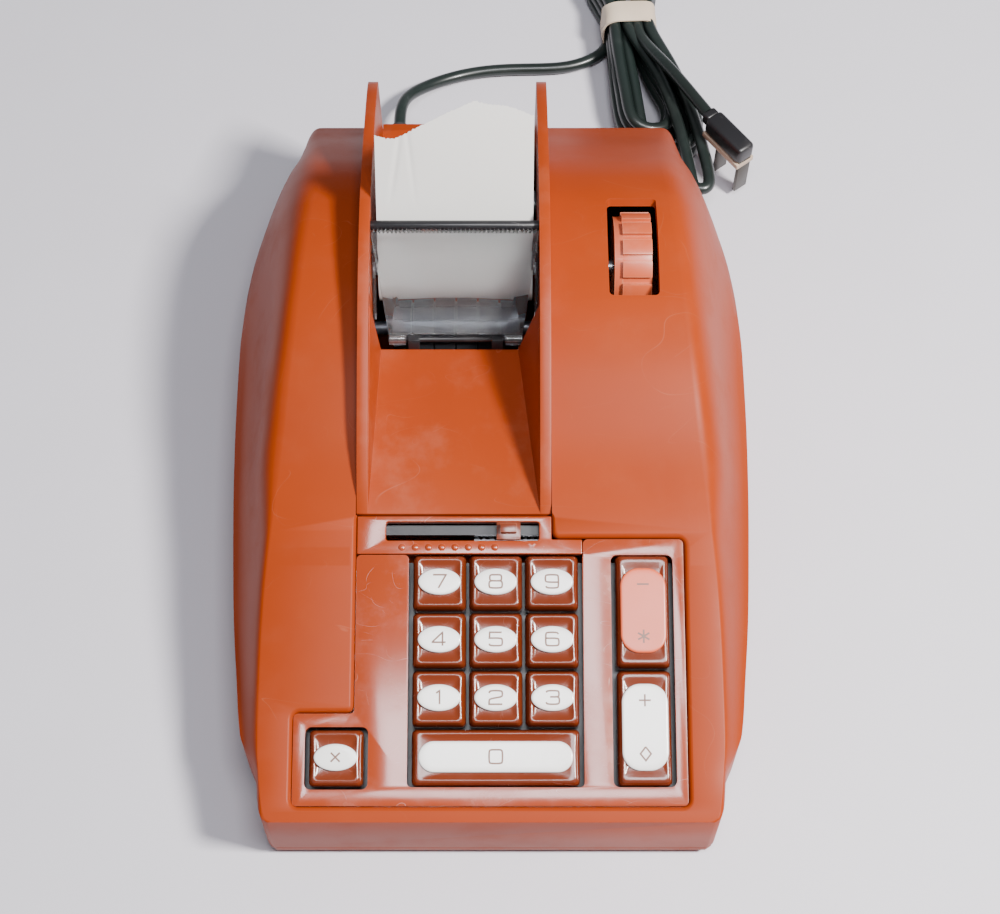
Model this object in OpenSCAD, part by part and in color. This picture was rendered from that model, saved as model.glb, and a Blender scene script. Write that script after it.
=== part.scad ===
// Printing desk calculator: a moulded two-part case, a keyboard under a sloping
// plate, a printing unit between two raised fins, and its mains lead.
// Millimetres. +Z is up, the keyboard faces -Y, the feet stand on Z = 0.

/* [Case] */
// Widest width of the case
body_w = 190; // [180:1:240]
// Length of the case, front to back
body_l = 286; // [280:1:360]
// Height of the deck at the front edge
front_h = 36; // [34:1:42]
// Height of the shoulders at their highest
crown_h = 85.5; // [84:0.5:90]
// Wall of the upper cover
cover_wall = 2.4; // [2:0.1:3]
// Thickness of the base tray
tray_t = 4; // [3:0.5:5]
// Height of the rubber feet
foot_h = 4; // [3:0.5:6]
// Radius of a foot
foot_r = 7; // [5:0.5:9]
// Slope of the deck and keyboard, in degrees
deck_tilt = 14.8; // [12:0.2:16]

/* [Keyboard] */
// Pitch of the key columns
key_pitch_x = 19.3; // [18.5:0.1:20.5]
// Pitch of the key rows
key_pitch_s = 19.9; // [19:0.1:21]
// Gap between neighbouring caps
key_gap = 1; // [0.8:0.1:1.6]
// Gap round a group of keys in its opening
opening_gap = 1.6; // [1:0.1:2.5]
// How far a key goes down
key_travel = 3.5; // [2:0.1:4]
// Height of a resting cap above the plate
cap_rise = 3.4; // [2.5:0.1:5]
// Thickness of the keyboard plate
plate_t = 3; // [2.5:0.1:4]
// Side of a key stem
stem_side = 4; // [3:0.1:5]
// Clearance round a key stem in its guide
stem_gap = 0.15; // [0.1:0.05:0.3]
// Length of the entry slot
slot_l = 53.2; // [48:0.2:56]
// Width of the entry slot
slot_w = 6.6; // [5.5:0.1:7]
// Width of the entry pointer's knob
pointer_w = 8.2; // [7:0.1:9]

/* [Printing unit] */
// Width between the fins
channel_w = 60.2; // [60:0.1:66]
// Thickness of a fin
fin_t = 3.8; // [3:0.1:5]
// Width of the paper
paper_w = 56; // [50:0.5:57]
// Radius of the platen roller
platen_r = 12; // [10:0.1:14.5]
// Radius of the platen shaft
shaft_r = 3; // [2.5:0.1:3.6]
// Radial clearance of a running shaft
run_gap = 0.05; // [0.03:0.01:0.1]
// Radius of the paper feed thumbwheel
thumb_r = 20; // [18:0.5:22]
// Width of the thumbwheel
thumb_w = 13.4; // [10:0.2:15]
// Radius of the type drum
drum_r = 9.5; // [8:0.5:10]
// Radius of the inking roller
ink_r = 7; // [5:0.5:8]
// Radius of the part-used paper roll
roll_r = 24; // [15:1:28]
// Length of the tear-off window along its slope
window_l = 43; // [38:0.5:44]
// Thickness of the tear-off window
window_t = 2; // [1.6:0.1:2.4]

/* [Drive] */
// Gear module
gear_module = 1; // [0.8:0.1:1]
// Teeth on the print shaft gear
gear_teeth = 36; // [30:6:36]
// Teeth on the motor pinion
pinion_teeth = 12; // [10:1:12]
// Radius of the motor
motor_r = 18; // [14:0.5:19]

/* [Mains lead] */
// Diameter of the mains lead
cord_d = 5; // [4.5:0.5:6]
// Height of the bundled hank
hank_h = 20; // [18:1:24]

/* [Hidden] */

$fn = 48;
eps = 0.01;

// Case
front_y = -body_l / 2;
rear_y = body_l / 2;
tray_z = foot_h;                      // underside of the tray
cover_z = tray_z + tray_t;            // joint between tray and cover
rim_h = front_h;                      // height of the widest line of the case
plate_drop = 1.5;                     // deck surface above the keyboard plate
rear_sill = 40;                       // top of the rear wall behind the paper well
seam_gap = 0.25;                      // gap between mouldings
rim_wall_h = 6;                       // upstand of the tray inside the cover
boss_r = 4.5;
screw_r = 1.75;

// Keyboard frame: x across, s up the slope, n out of the plate
plate_y = front_y + 5.7;
plate_z = front_h - plate_drop + 5.7 * tan(deck_tilt);
digit_x = 1.6;                        // middle of the digit block
cap_w = key_pitch_x - key_gap;
bottom_s = 6.2;                       // lower edge of the key openings
digit_w = 2 * key_pitch_x + cap_w + 2 * opening_gap;
digit_l = 4 * key_pitch_s;
oper_x = digit_x + digit_w / 2 + 9.7 + (cap_w + 2 * opening_gap) / 2;
times_x = digit_x - digit_w / 2 - 13.2 - (cap_w + 2 * opening_gap) / 2;
oper_w = cap_w + 2 * opening_gap;
plate_left = times_x - oper_w / 2 - 4;
plate_right = oper_x + oper_w / 2 + 3.7;
step_s = bottom_s + key_pitch_s + 4.9;    // top of the low left corner of the plate
digit_top = bottom_s + digit_l;           // lower edge of the scale strip
oper_top = digit_top + 5.5;               // top of the plate beside the strip
strip_top = digit_top + 13.7;
channel_x = -12.9;                        // middle of the printing channel
chan_left = channel_x - channel_w / 2;
chan_right = channel_x + channel_w / 2;
strip_left = chan_left - fin_t + 0.3;
strip_right = chan_right + fin_t;
strip_ear = max(digit_x + digit_w / 2, strip_right + 2);
slot_s = strip_top - 2 - slot_w / 2;
slot_x = channel_x + 3;
pointer_x = slot_x + 16;
dot_pitch = 4.65;
oval_a = 7.3;                         // half axes of a digit's insert
oval_b = 4.5;
zero_w = 10.4;
bar_w = 15.6;
bar_l = 29.2;
cap_deep = 6;                         // cap below the plate surface
guide_n = -cap_deep - key_travel - 0.5;   // upper face of the guide
guide_t = 2;
stem_end = guide_n - guide_t - 10;
comb_n = stem_end - key_travel - 0.3;
comb_t = 0.6;
flange = 3;
flange_gap = 0.467;                  // under the cover's skin
flange_n = plate_drop - cover_wall * (cos(deck_tilt) + sin(deck_tilt)) - flange_gap;
rail_n = -5;

// Printing unit, as [y, z] of each axis
platen_at = [58, 68];
drum_at = platen_at + (platen_r + drum_r + 1.5) * [cos(225), sin(225)];
ink_at = drum_at + (drum_r + ink_r + 0.1) * [cos(225), sin(225)];
mesh_r = gear_module * (gear_teeth + pinion_teeth) / 2;
mesh_angle = 241;
motor_at = drum_at + mesh_r * [cos(mesh_angle), sin(mesh_angle)];
roll_at = [104, 42];
hinge_at = [31.5, 60.5];
window_lean = 57;
paper_lean = 56;
paper_t = 0.3;
paper_path_r = platen_r + 0.15 + paper_t / 2;
spindle_r = 5.5;
hinge_r = 1;
bail_r = 1.8;
cheek_t = 1.1;
ramp_t = 2.5;
ramp_y0 = plate_y + strip_top * cos(deck_tilt) + 1;
ramp_z0 = plate_z + strip_top * sin(deck_tilt);
ramp_y1 = hinge_at[0] - 3;
ramp_z1 = hinge_at[1] - 2.4;
ramp_in_left = 2.8;
ramp_in_right = 7.4;
well_y = roll_at[0] - roll_r - 0.5;         // inner face of the well's front wall
well_back = roll_at[0] + roll_r + 3;       // inner face of its rear wall
well_z = 12;
wall_t = 2.5;
frame_t = 1.5;
frame_left = chan_left - fin_t - 3.7 - frame_t;
frame_right = chan_right + fin_t + 3.5;
thumb_x = frame_right + frame_t + 18.5;
shaft_end = thumb_x + thumb_w;
gear_x = frame_right + frame_t + 2;
gear_t = 4;
motor_x = gear_x + gear_t + 4;
motor_l = 38;
paper_out = 67;                       // straight strip above the platen

// Lead: the free stretch, from the strain relief to the hank
exit_x = -38;
exit_z = cover_z + 6.5;
relief_l = 20;
neck_r = 4.3;
lead_points = [
    [-38, 163, 14.5], [-38, 168, 14.5], [-37.7, 173, 13.8], [-36.5, 179, 11.8], [-33.5, 184.5, 9.3],
    [-29, 189.5, 6.8], [-23.5, 193.8, 4.9], [-17, 197.3, 3.8], [-10, 199.8, 3.3], [-1, 201.6, 3.2],
    [10, 202.4, 3.2], [21, 202.5, 3.2], [31, 203, 3.2], [39.7, 205.5, 3.2], [51, 212, 3.2]
];
// Hank: narrow under its band, fanned out towards the case
hank_left = [[51, 151], [49, 170], [49.5, 198], [49, 206.5], [46.5, 213.5], [44, 232], [40, 244]];
hank_right = [[74, 240], [72, 222], [79, 203], [86, 188], [90.5, 172], [92, 156]];
hank_head = [57, 246];
hank_head_r = 17;
hank_loop = [85.5, 133];
hank_loop_r = 6.5;
hank_z = 0.3;
band_y = [214, 225];
band_x = [47.5, 70.5];
band_t = 1.2;
plug_at = [97, 147.8, hank_z + hank_h];             // middle of the plug's underside
plug_turn = -53;
plug_l = 22;
plug_w = 9;
face_t = 5.4;
blade_l = 16;
blade_w = 6.35;
blade_t = 1.5;
blade_spots = [-2.7, 10];

cover_color = [0.78, 0.36, 0.18];
cap_color = [0.52, 0.21, 0.12];
white = [0.95, 0.94, 0.9];
salmon = [0.9, 0.5, 0.38];
black = [0.1, 0.1, 0.11];
steel = [0.62, 0.64, 0.66];
cord_color = [0.09, 0.13, 0.12];

// ---- Case surface -------------------------------------------------------

function deck_z(y) = front_h + (y - front_y) * tan(deck_tilt);

// Each row: share of the length, half width at the rim, half width of the flat
// top, both as shares of the half width, height of the top as a share between
// the rim and the crown (negative: the top lies on the deck slope), and how
// far the side flares.
stations = [
    [0, 0.79, 0.775, -1, 0], [0.005, 0.812, 0.8, -1, 0], [0.018, 0.826, 0.812, -1, 0],
    [0.056, 0.84, 0.826, -1, 0.1], [0.084, 0.876, 0.83, -1, 0.5],
    [0.108, 0.905, 0.83, -1, 0.9], [0.178, 0.93, 0.828, -1, 1], [0.255, 0.954, 0.82, -1, 1],
    [0.336, 0.971, 0.8, -1, 1], [0.44, 0.988, 0.768, 0.64, 1], [0.55, 0.998, 0.736, 0.865, 1],
    [0.64, 1, 0.712, 0.975, 0.9], [0.71, 0.99, 0.694, 1, 0.7], [0.766, 0.971, 0.68, 0.97, 0.5],
    [0.815, 0.942, 0.67, 0.875, 0.3], [0.85, 0.912, 0.665, 0.765, 0.2],
    [0.885, 0.868, 0.665, 0.62, 0.1], [0.92, 0.822, 0.675, 0.465, 0.05],
    [0.96, 0.79, 0.695, 0.27, 0], [0.985, 0.772, 0.71, 0.16, 0],
    [0.996, 0.758, 0.71, 0.11, 0], [1, 0.74, 0.7, 0.06, 0]
];

function station_y(row, inset) = front_y + inset + row[0] * (body_l - 2 * inset);
function top_z(row) = row[3] < 0 ? deck_z(front_y + row[0] * body_l)
    : rim_h + row[3] * (crown_h - rim_h);
function bezier(a, b, c, d, t) = a * pow(1 - t, 3) + 3 * b * t * pow(1 - t, 2)
    + 3 * c * t * t * (1 - t) + d * pow(t, 3);

// Half of one cross-section, from the bottom edge up to the end of the flat top
function half_section(row, inset, low) = let(
    rim = row[1] * body_w / 2 - inset,
    flat = row[2] * body_w / 2 - inset,
    top = top_z(row) - inset,
    edge = min(rim_h - inset / 2, top - 0.4),
    rise = top - edge,
    a = [flat, top],
    b = [flat + min((rim - flat) * (row[3] < 0 ? 0.28 : 0.62), 12), top],
    c = [rim - (0.12 + 0.33 * row[4]) * (rim - flat), edge + rise * (0.55 - 0.39 * row[4])],
    d = [rim, edge])
    concat([[rim, low]], [for (i = [0:8]) bezier(d, c, b, a, i / 8)]);

function ring(row, inset, low) = let(
    half = half_section(row, inset, low), count = len(half), y = station_y(row, inset))
    concat([for (p = half) [p[0], y, p[1]]],
        [for (i = [count - 1:-1:0]) [-half[i][0], y, half[i][1]]]);

module loft(rings) {
    m = len(rings[0]);
    k = len(rings);
    sides = [for (j = [0:k - 2], i = [0:m - 1]) let(n = (i + 1) % m)
        each [[j * m + i, j * m + n, (j + 1) * m + n], [j * m + i, (j + 1) * m + n, (j + 1) * m + i]]];
    caps = [[for (i = [m - 1:-1:0]) i], [for (i = [0:m - 1]) (k - 1) * m + i]];
    polyhedron([for (r = rings) each r], concat(sides, caps), convexity = 6);
}

module case_solid(inset, low) {
    loft([for (row = stations) ring(row, inset, low)]);
}

// Plan outline of the case at its rim
function outline(inset) = let(
    side = [for (row = stations) [row[1] * body_w / 2 - inset, station_y(row, inset)]],
    count = len(side))
    concat(side, [for (i = [count - 1:-1:0]) [-side[i][0], side[i][1]]]);

screw_spots = [
    [-body_w * 0.405, front_y + 58], [body_w * 0.405, front_y + 58],
    [-body_w * 0.33, rear_y - 22], [body_w * 0.33, rear_y - 22]
];
foot_spots = [
    [-body_w * 0.39, front_y + 36], [body_w * 0.39, front_y + 36],
    [-body_w * 0.31, rear_y - 42], [body_w * 0.31, rear_y - 42]
];

module on_deck() {
    translate([0, plate_y, plate_z]) rotate([deck_tilt, 0, 0]) children();
}

module slab(x0, x1, s0, s1, n0, n1) {
    translate([x0, s0, n0]) cube([x1 - x0, s1 - s0, n1 - n0]);
}

module across(at, x0, x1, r) {
    translate([x0, at[0], at[1]]) rotate([0, 90, 0]) cylinder(h = x1 - x0, r = r);
}

// Extrudes an outline drawn in [y, z] from x0 to x1
module side_plate(x0, x1, points) {
    translate([x0, 0, 0]) rotate([90, 0, 90]) linear_extrude(x1 - x0) polygon(points);
}

module rounded_cut(x0, x1, s0, s1, n0, n1, r) {
    slab(x0 + r, x1 - r, s0, s1, n0, n1);
    slab(x0, x1, s0 + r, s1 - r, n0, n1);
    for (x = [x0 + r, x1 - r], s = [s0 + r, s1 - r])
        translate([x, s, n0]) cylinder(h = n1 - n0, r = r);
}

// ---- Casing -------------------------------------------------------------

module base_tray() {
    color(cover_color) difference() {
        union() {
            translate([0, 0, tray_z]) linear_extrude(tray_t) polygon(outline(seam_gap));
            translate([0, 0, cover_z - eps]) linear_extrude(rim_wall_h) difference() {
                polygon(outline(cover_wall + 0.4));
                polygon(outline(cover_wall + 2.4));
            }
        }
        for (p = screw_spots) translate([p[0], p[1], 0]) {
            cylinder(h = 30, r = screw_r + 0.3);
            translate([0, 0, tray_z - eps]) cylinder(h = 2, r = 3.6);
            translate([0, 0, cover_z]) cylinder(h = 30, r = boss_r + 0.6);
        }
        lead_notch();
    }
}

// Gap in the tray's upstand where the lead comes in
module lead_notch() {
    translate([exit_x - 9, rear_y - 12, cover_z]) cube([18, 20, 30]);
}

module feet() {
    color(black) for (p = foot_spots) translate([p[0], p[1], 0]) {
        cylinder(h = foot_h, r = foot_r);
    }
}

module case_screws() {
    color(steel) for (p = screw_spots) translate([p[0], p[1], tray_z]) {
        cylinder(h = 1.9, r = 3.2);
        cylinder(h = tray_t + 12, r = screw_r);
    }
}

module plate_hole(grow) {
    slab(plate_left - grow, plate_right + grow, -grow, step_s + grow, -20, 20);
    slab(strip_left - grow, plate_right + grow, -grow, oper_top + grow, -20, 20);
    slab(strip_left - grow, strip_right + grow, 0, strip_top + grow + 1, -20, 20);
}

module upper_cover() {
    color(cover_color) difference() {
        case_solid(0, cover_z);
        difference() {
            case_solid(cover_wall, cover_z - 5);
            for (p = screw_spots) translate([p[0], p[1], cover_z]) cylinder(h = 90, r = boss_r);
        }
        for (p = screw_spots) translate([p[0], p[1], cover_z - eps]) cylinder(h = 14, r = screw_r);
        on_deck() plate_hole(seam_gap);
        translate([chan_left - fin_t - seam_gap, ramp_y0 - 1, rear_sill])
            cube([channel_w + 2 * (fin_t + seam_gap), rear_y - ramp_y0 + 20, 100]);
        translate([thumb_x - 2, platen_at[0] - 22, platen_at[1] - 5])
            cube([thumb_w + 4, 39, 60]);
        translate([exit_x, rear_y - 20, exit_z]) rotate([-90, 0, 0]) cylinder(h = 40, r = neck_r);
    }
}

// ---- Keyboard -----------------------------------------------------------

module keyboard_plate() {
    color(cover_color) on_deck() difference() {
        union() {
            slab(plate_left, plate_right, 0, step_s, -plate_t, 0);
            slab(strip_left, plate_right, 0, oper_top, -plate_t, 0);
            slab(plate_left - flange, plate_right + flange, -1, step_s + flange, -plate_t, flange_n);
            slab(strip_left - flange, plate_right + flange, -1, oper_top + flange, -plate_t, flange_n);
        }
        slab(strip_left - flange - 1, strip_ear + seam_gap, digit_top, strip_top + 9, -9, 9);
        slab(strip_left - 9, strip_right + flange + 1, oper_top - 1, strip_top + 9, -9, 9);
        slab(digit_x - digit_w / 2, digit_x + digit_w / 2, bottom_s + 2, digit_top + 1, -9, 9);
        rounded_cut(digit_x - digit_w / 2, digit_x + digit_w / 2, bottom_s, digit_top - 9, -9, 9, 2);
        rounded_cut(oper_x - oper_w / 2, oper_x + oper_w / 2, bottom_s, digit_top, -9, 9, 2);
        rounded_cut(times_x - oper_w / 2, times_x + oper_w / 2,
            bottom_s - 0.8, bottom_s + key_pitch_s + 0.4, -9, 9, 2);
    }
}

module scale_strip() {
    color(cover_color) on_deck() {
        difference() {
            union() {
                slab(strip_left, strip_ear, digit_top + 0.2, oper_top, -plate_t, 0);
                slab(strip_left, strip_right, digit_top + 0.2, strip_top, -plate_t, 0);
            }
            slab(slot_x - slot_l / 2, slot_x + slot_l / 2, slot_s - slot_w / 2, slot_s + slot_w / 2, -9, 9);
        }
        for (i = [0:7])
            translate([slot_x - slot_l / 2 + 5.6 + i * dot_pitch, digit_top + 2.7, -eps])
                cylinder(h = 0.6, r = 1.3);
        translate([slot_x + slot_l / 2 - 2.5, digit_top + 2.7, -eps]) for (turn = [45, -45])
            rotate([0, 0, turn]) translate([-1.8, -0.35, 0]) cube([3.6, 0.7, 0.5]);
    }
}

// [name, x, s, columns wide, rows long]
row_s = function(r) bottom_s + (r + 0.5) * key_pitch_s;
col_x = function(c) digit_x + (c - 1) * key_pitch_x;
key_spots = [
    ["0", digit_x, row_s(0), 3, 1],
    ["1", col_x(0), row_s(1), 1, 1], ["2", col_x(1), row_s(1), 1, 1], ["3", col_x(2), row_s(1), 1, 1],
    ["4", col_x(0), row_s(2), 1, 1], ["5", col_x(1), row_s(2), 1, 1], ["6", col_x(2), row_s(2), 1, 1],
    ["7", col_x(0), row_s(3), 1, 1], ["8", col_x(1), row_s(3), 1, 1], ["9", col_x(2), row_s(3), 1, 1],
    ["times", times_x, row_s(0) - 0.2, 1, 1],
    ["minus", oper_x, row_s(2.5), 1, 2], ["plus", oper_x, row_s(0.5), 1, 2]
];

function key_w(k) = k[3] * key_pitch_x - key_gap;
function key_l(k) = k[4] * key_pitch_s - key_gap;

module key_cap(k) {
    taper = 1.1;
    w = key_w(k);
    l = key_l(k);
    color(cap_color) on_deck() translate([k[1], k[2], 0]) {
        difference() {
            hull() {
                slab(-w / 2, w / 2, -l / 2, l / 2, -cap_deep, 0.4);
                slab(-w / 2 + taper, w / 2 - taper, -l / 2 + taper, l / 2 - taper, 0, cap_rise);
            }
            translate([0, 0, cap_rise - 0.9]) insert_shape(k, 3, 0.1);
        }
        slab(-stem_side / 2, stem_side / 2, -stem_side / 2, stem_side / 2, stem_end, -cap_deep + eps);
    }
}

// Insert outline: an oval on a single cap, a bar with round ends on a double one
module insert_shape(k, h, grow) {
    if (k[3] == 1 && k[4] == 1) {
        scale([(oval_a + grow) / (oval_b + grow), 1, 1]) cylinder(h = h, r = oval_b + grow);
    } else {
        long_way = k[4] > 1;
        r = (long_way ? bar_w / 2 : zero_w / 2) + grow;
        half = (long_way ? bar_l / 2 : key_w(k) / 2 - 2.4) + grow - r;
        for (i = [-1, 1]) translate(long_way ? [0, i * half, 0] : [i * half, 0, 0]) cylinder(h = h, r = r);
        if (long_way) slab(-r, r, -half, half, 0, h);
        else slab(-half, half, -r, r, 0, h);
    }
}

module key_insert(k) {
    color(k[0] == "minus" ? salmon : white) on_deck()
        translate([k[1], k[2], cap_rise - 0.9]) insert_shape(k, 1.7, 0);
}

module key_guide() {
    x0 = plate_left + 1;
    x1 = plate_right - 1;
    color(black) on_deck() difference() {
        union() {
            slab(x0, x1, 1.5, step_s - 1, guide_n - guide_t, guide_n);
            slab(strip_left + 2, x1, 1.5, digit_top - 1, guide_n - guide_t, guide_n);
            for (x = [x0, x1 - 2], s = [1.5, step_s - 5])
                slab(x, x + 2, s, s + 4, comb_n, -plate_t);
        }
        for (k = key_spots) translate([k[1], k[2], 0]) {
            half = stem_side / 2 + stem_gap;
            slab(-half, half, -half, half, -90, 90);
        }
    }
}

module spring_comb() {
    color(steel) on_deck() difference() {
        slab(plate_left + 1, plate_right - 1, 1.5, digit_top - 1, comb_n - comb_t, comb_n);
        for (k = key_spots) translate([k[1], k[2], comb_n - 5]) {
            slab(-5, -3.5, -6, 4, 0, 9);
            slab(3.5, 5, -6, 4, 0, 9);
            slab(-5, 5, -6, -4.8, 0, 9);
        }
    }
}

module carriage_rail() {
    x0 = slot_x - slot_l / 2 - 4;
    x1 = slot_x + slot_l / 2 + 4;
    color(black) on_deck() {
        slab(x0, x1, slot_s - 0.4, slot_s + 3, rail_n - 2.5, rail_n);
        for (x = [x0, x1 - 2]) slab(x, x + 2, slot_s - 0.4, slot_s + 3, rail_n - eps, -plate_t);
    }
}

module entry_pointer() {
    color(cap_color) on_deck() translate([pointer_x, slot_s, 0]) {
        slab(-pointer_w / 2, pointer_w / 2, -slot_w / 2 + 0.3, slot_w / 2 - 0.3, -1.6, 0.6);
        slab(-2.8, 2.8, -1, 2.2, 0.6 - eps, 3.6);
        slab(-2, 2, -slot_w / 2 + 0.4, -1, rail_n - 8, -1.6 + eps);
    }
}

module pin_carriage() {
    color(steel) on_deck() translate([pointer_x, slot_s, 0]) difference() {
        slab(-12, 12, -slot_w / 2 - 1, slot_w / 2 + 1, rail_n - 20, rail_n - 8);
        for (i = [-4:4]) translate([i * 2.4, 0, rail_n - 30]) cylinder(h = 30, r = 0.6);
    }
}

// ---- Printing unit ------------------------------------------------------

// Top edge of a fin, front to rear
fin_top = [
    [ramp_y0, ramp_z0], [ramp_y0 + 11, 67.5], [-14, 75], [-2, 80.5], [8, 85], [18, 89], [28, 92.6],
    [38, 95.6], [48, 97.8], [58, 99], [68, 99], [78, 97.6], [88, 95.6], [98, 93.2], [108, 90.4],
    [118, 87.4], [126, 84.4], [rear_y - 11, 81.5], [rear_y - 8, 79]
];
fin_low = [
    [rear_y - 3.5, rear_sill + seam_gap], [well_back + wall_t, rear_sill + seam_gap],
    [well_back + wall_t, well_z], [well_y - wall_t, well_z],
    [well_y - wall_t, ramp_z1 - ramp_t], [ramp_y0, ramp_z0 - ramp_t]
];

module fin(x0) {
    side_plate(x0, x0 + fin_t, concat(fin_top, fin_low));
}

// Wedge that narrows the ramp towards the window, on the side given by way
module ramp_wedge(x, way, reach) {
    hull() {
        side_point(x, ramp_y0, ramp_z0 - 1);
        translate([way > 0 ? x : x - reach, ramp_y1 - 0.5, ramp_z1 - 1]) cube([reach, 0.5, 0.5]);
        translate([way > 0 ? x : x - 0.3, ramp_y1 - 0.5, ramp_z1 + 26]) cube([0.3, 0.5, 4]);
        translate([way > 0 ? x : x - 0.3, ramp_y0 + 24, ramp_z1 + 4]) cube([0.3, 0.5, 0.5]);
    }
}

module side_point(x, y, z) {
    translate([x - 0.1, y, z]) cube([0.2, 0.5, 0.8]);
}

module paper_channel() {
    color(cover_color) difference() {
        union() {
            fin(chan_left - fin_t);
            fin(chan_right);
            side_plate(chan_left - eps, chan_right + eps, [[ramp_y0, ramp_z0 - ramp_t], [ramp_y0, ramp_z0],
                [ramp_y1, ramp_z1], [ramp_y1, ramp_z1 - ramp_t]]);
            ramp_wedge(chan_left, 1, ramp_in_left);
            ramp_wedge(chan_right, -1, ramp_in_right);
            side_plate(chan_left - eps, chan_right + eps, [[well_y - wall_t, well_z],
                [well_back + wall_t, well_z], [well_back + wall_t, rear_sill + seam_gap],
                [rear_y - seam_gap, rear_sill + seam_gap], [rear_y - seam_gap, rear_sill + seam_gap + wall_t],
                [well_back, rear_sill + seam_gap + wall_t], [well_back, well_z + wall_t],
                [well_y, well_z + wall_t], [well_y, rear_sill + 4], [well_y - wall_t, rear_sill + 4]]);
        }
        across(platen_at, -body_w, body_w, shaft_r + 0.6);
        across(roll_at, chan_left - fin_t - 1, chan_right + fin_t + 1, spindle_r);
        across(bail_at, chan_left - 2, chan_right + 2, bail_r);
    }
}

function along(from, angle, d) = from + d * [cos(angle), sin(angle)];
leave_at = along(platen_at, 90 + paper_lean, paper_path_r);
bail_at = along(along(leave_at, paper_lean, 22), 90 + paper_lean, bail_r + paper_t + 0.1);

module window_pane(half_low, half_high, s0, s1, n0, n1) {
    translate([0, 0, n0]) linear_extrude(n1 - n0) polygon([
        [channel_x - half_low, s0], [channel_x + half_low, s0],
        [channel_x + half_high, s1], [channel_x - half_high, s1]]);
}

module on_window() {
    translate([0, hinge_at[0], hinge_at[1]]) rotate([window_lean, 0, 0]) children();
}

module tear_off_window() {
    half_low = channel_w / 2 - 5.9;
    half_high = channel_w / 2 - 0.4;
    teeth = 40;
    pitch = 2 * half_high / teeth;
    color([0.85, 0.88, 0.9, 0.45]) on_window() difference() {
        union() {
            window_pane(half_low, half_high, 1, window_l - 1.4, -window_t / 2, window_t / 2);
            translate([0, 0, -window_t / 2]) linear_extrude(window_t) polygon(concat(
                [[channel_x + half_high, window_l - 1.5], [channel_x - half_high, window_l - 1.5]],
                [for (i = [0:teeth - 1]) each [
                    [channel_x - half_high + i * pitch, window_l - 1.2],
                    [channel_x - half_high + (i + 0.5) * pitch, window_l]]],
                [[channel_x + half_high, window_l - 1.2]]));
            for (way = [-1, 1]) {
                translate([channel_x + way * (half_low - 3) - 3, 0, 0]) rotate([0, 90, 0])
                    cylinder(h = 6, r = 2.2);
                edge = channel_x + way * (half_high - cheek_t / 2);
                translate([edge - cheek_t / 2, 8, -8]) cube([cheek_t, window_l - 17, 8]);
            }
        }
        translate([-body_w, 0, 0]) rotate([0, 90, 0]) cylinder(h = 2 * body_w, r = hinge_r + run_gap);
        translate([channel_x - half_low + 6.2, -3, -3]) cube([2 * half_low - 12.4, 5.4, 6]);
    }
}

module window_hinge() {
    half_low = channel_w / 2 - 5.9;
    color(black) {
        across(hinge_at, channel_x - half_low - 0.4, channel_x + half_low + 0.4, hinge_r);
        for (way = [-1, 1]) side_plate(channel_x + way * (half_low - 9) - 2, channel_x + way * (half_low - 9) + 2,
            [[ramp_y1, ramp_z1 - ramp_t], [ramp_y1, ramp_z1 + 1.2], [ramp_y1 + 1.5, ramp_z1 + 3.8],
            [ramp_y1 + 4.4, ramp_z1 + 3.8], [ramp_y1 + 4.4, ramp_z1 - ramp_t]]);
    }
}

module paper_bail() {
    color(black) across(bail_at, chan_left - 2, chan_right + 2, bail_r);
}

module platen_roller() {
    color(black) difference() {
        across(platen_at, channel_x - paper_w / 2, channel_x + paper_w / 2, platen_r);
        across(platen_at, -body_w, body_w, shaft_r);
    }
}

module platen_shaft() {
    color(steel) across(platen_at, frame_left, shaft_end, shaft_r);
}

module feed_thumbwheel() {
    pads = 15;
    pad_w = thumb_w - 2.9;
    color(salmon) translate([thumb_x, platen_at[0], platen_at[1]]) rotate([0, 90, 0]) difference() {
        cylinder(h = thumb_w, r = thumb_r);
        translate([0, 0, -1]) cylinder(h = thumb_w + 2, r = shaft_r);
        difference() {
            translate([0, 0, -1]) cylinder(h = 3.9, r = thumb_r + 1);
            translate([0, 0, -2]) cylinder(h = 6, r = thumb_r - 1.6);
        }
        for (i = [0:pads - 1]) rotate([0, 0, (i + 0.5) * 360 / pads])
            translate([thumb_r - 1.6, -1.3, thumb_w - pad_w - eps]) cube([4, 2.6, pad_w + 1]);
    }
}

module paper_roll() {
    color(white) difference() {
        across(roll_at, channel_x - paper_w / 2, channel_x + paper_w / 2, roll_r);
        across(roll_at, -body_w, body_w, spindle_r + 0.1);
    }
}

module roll_spindle() {
    color(steel) across(roll_at, chan_left - fin_t, chan_right + fin_t, spindle_r);
}

// The strip: off the top of the roll, under and round the platen, then up behind the bail
reach = norm(roll_at - platen_at);
reach_angle = atan2(roll_at[1] - platen_at[1], roll_at[0] - platen_at[0]);
roll_path_r = roll_r + 0.15 + paper_t / 2;
wrap_start = reach_angle - acos((paper_path_r + roll_path_r) / reach);
wrap_end = 90 + paper_lean - 360;

function strip_line(side) = let(
    rp = paper_path_r + side * paper_t / 2,
    rr = roll_path_r - side * paper_t / 2,
    steps = 24)
    concat([along(roll_at, wrap_start + 180, rr)],
        [for (i = [0:steps]) along(platen_at, wrap_start + (wrap_end - wrap_start) * i / steps, rp)],
        [along(along(platen_at, wrap_end, rp), paper_lean, paper_out)]);

module paper_strip() {
    outer = strip_line(1);
    inner = strip_line(-1);
    color(white) side_plate(channel_x - paper_w / 2, channel_x + paper_w / 2,
        concat(outer, [for (i = [len(inner) - 1:-1:0]) inner[i]]));
}

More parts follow.
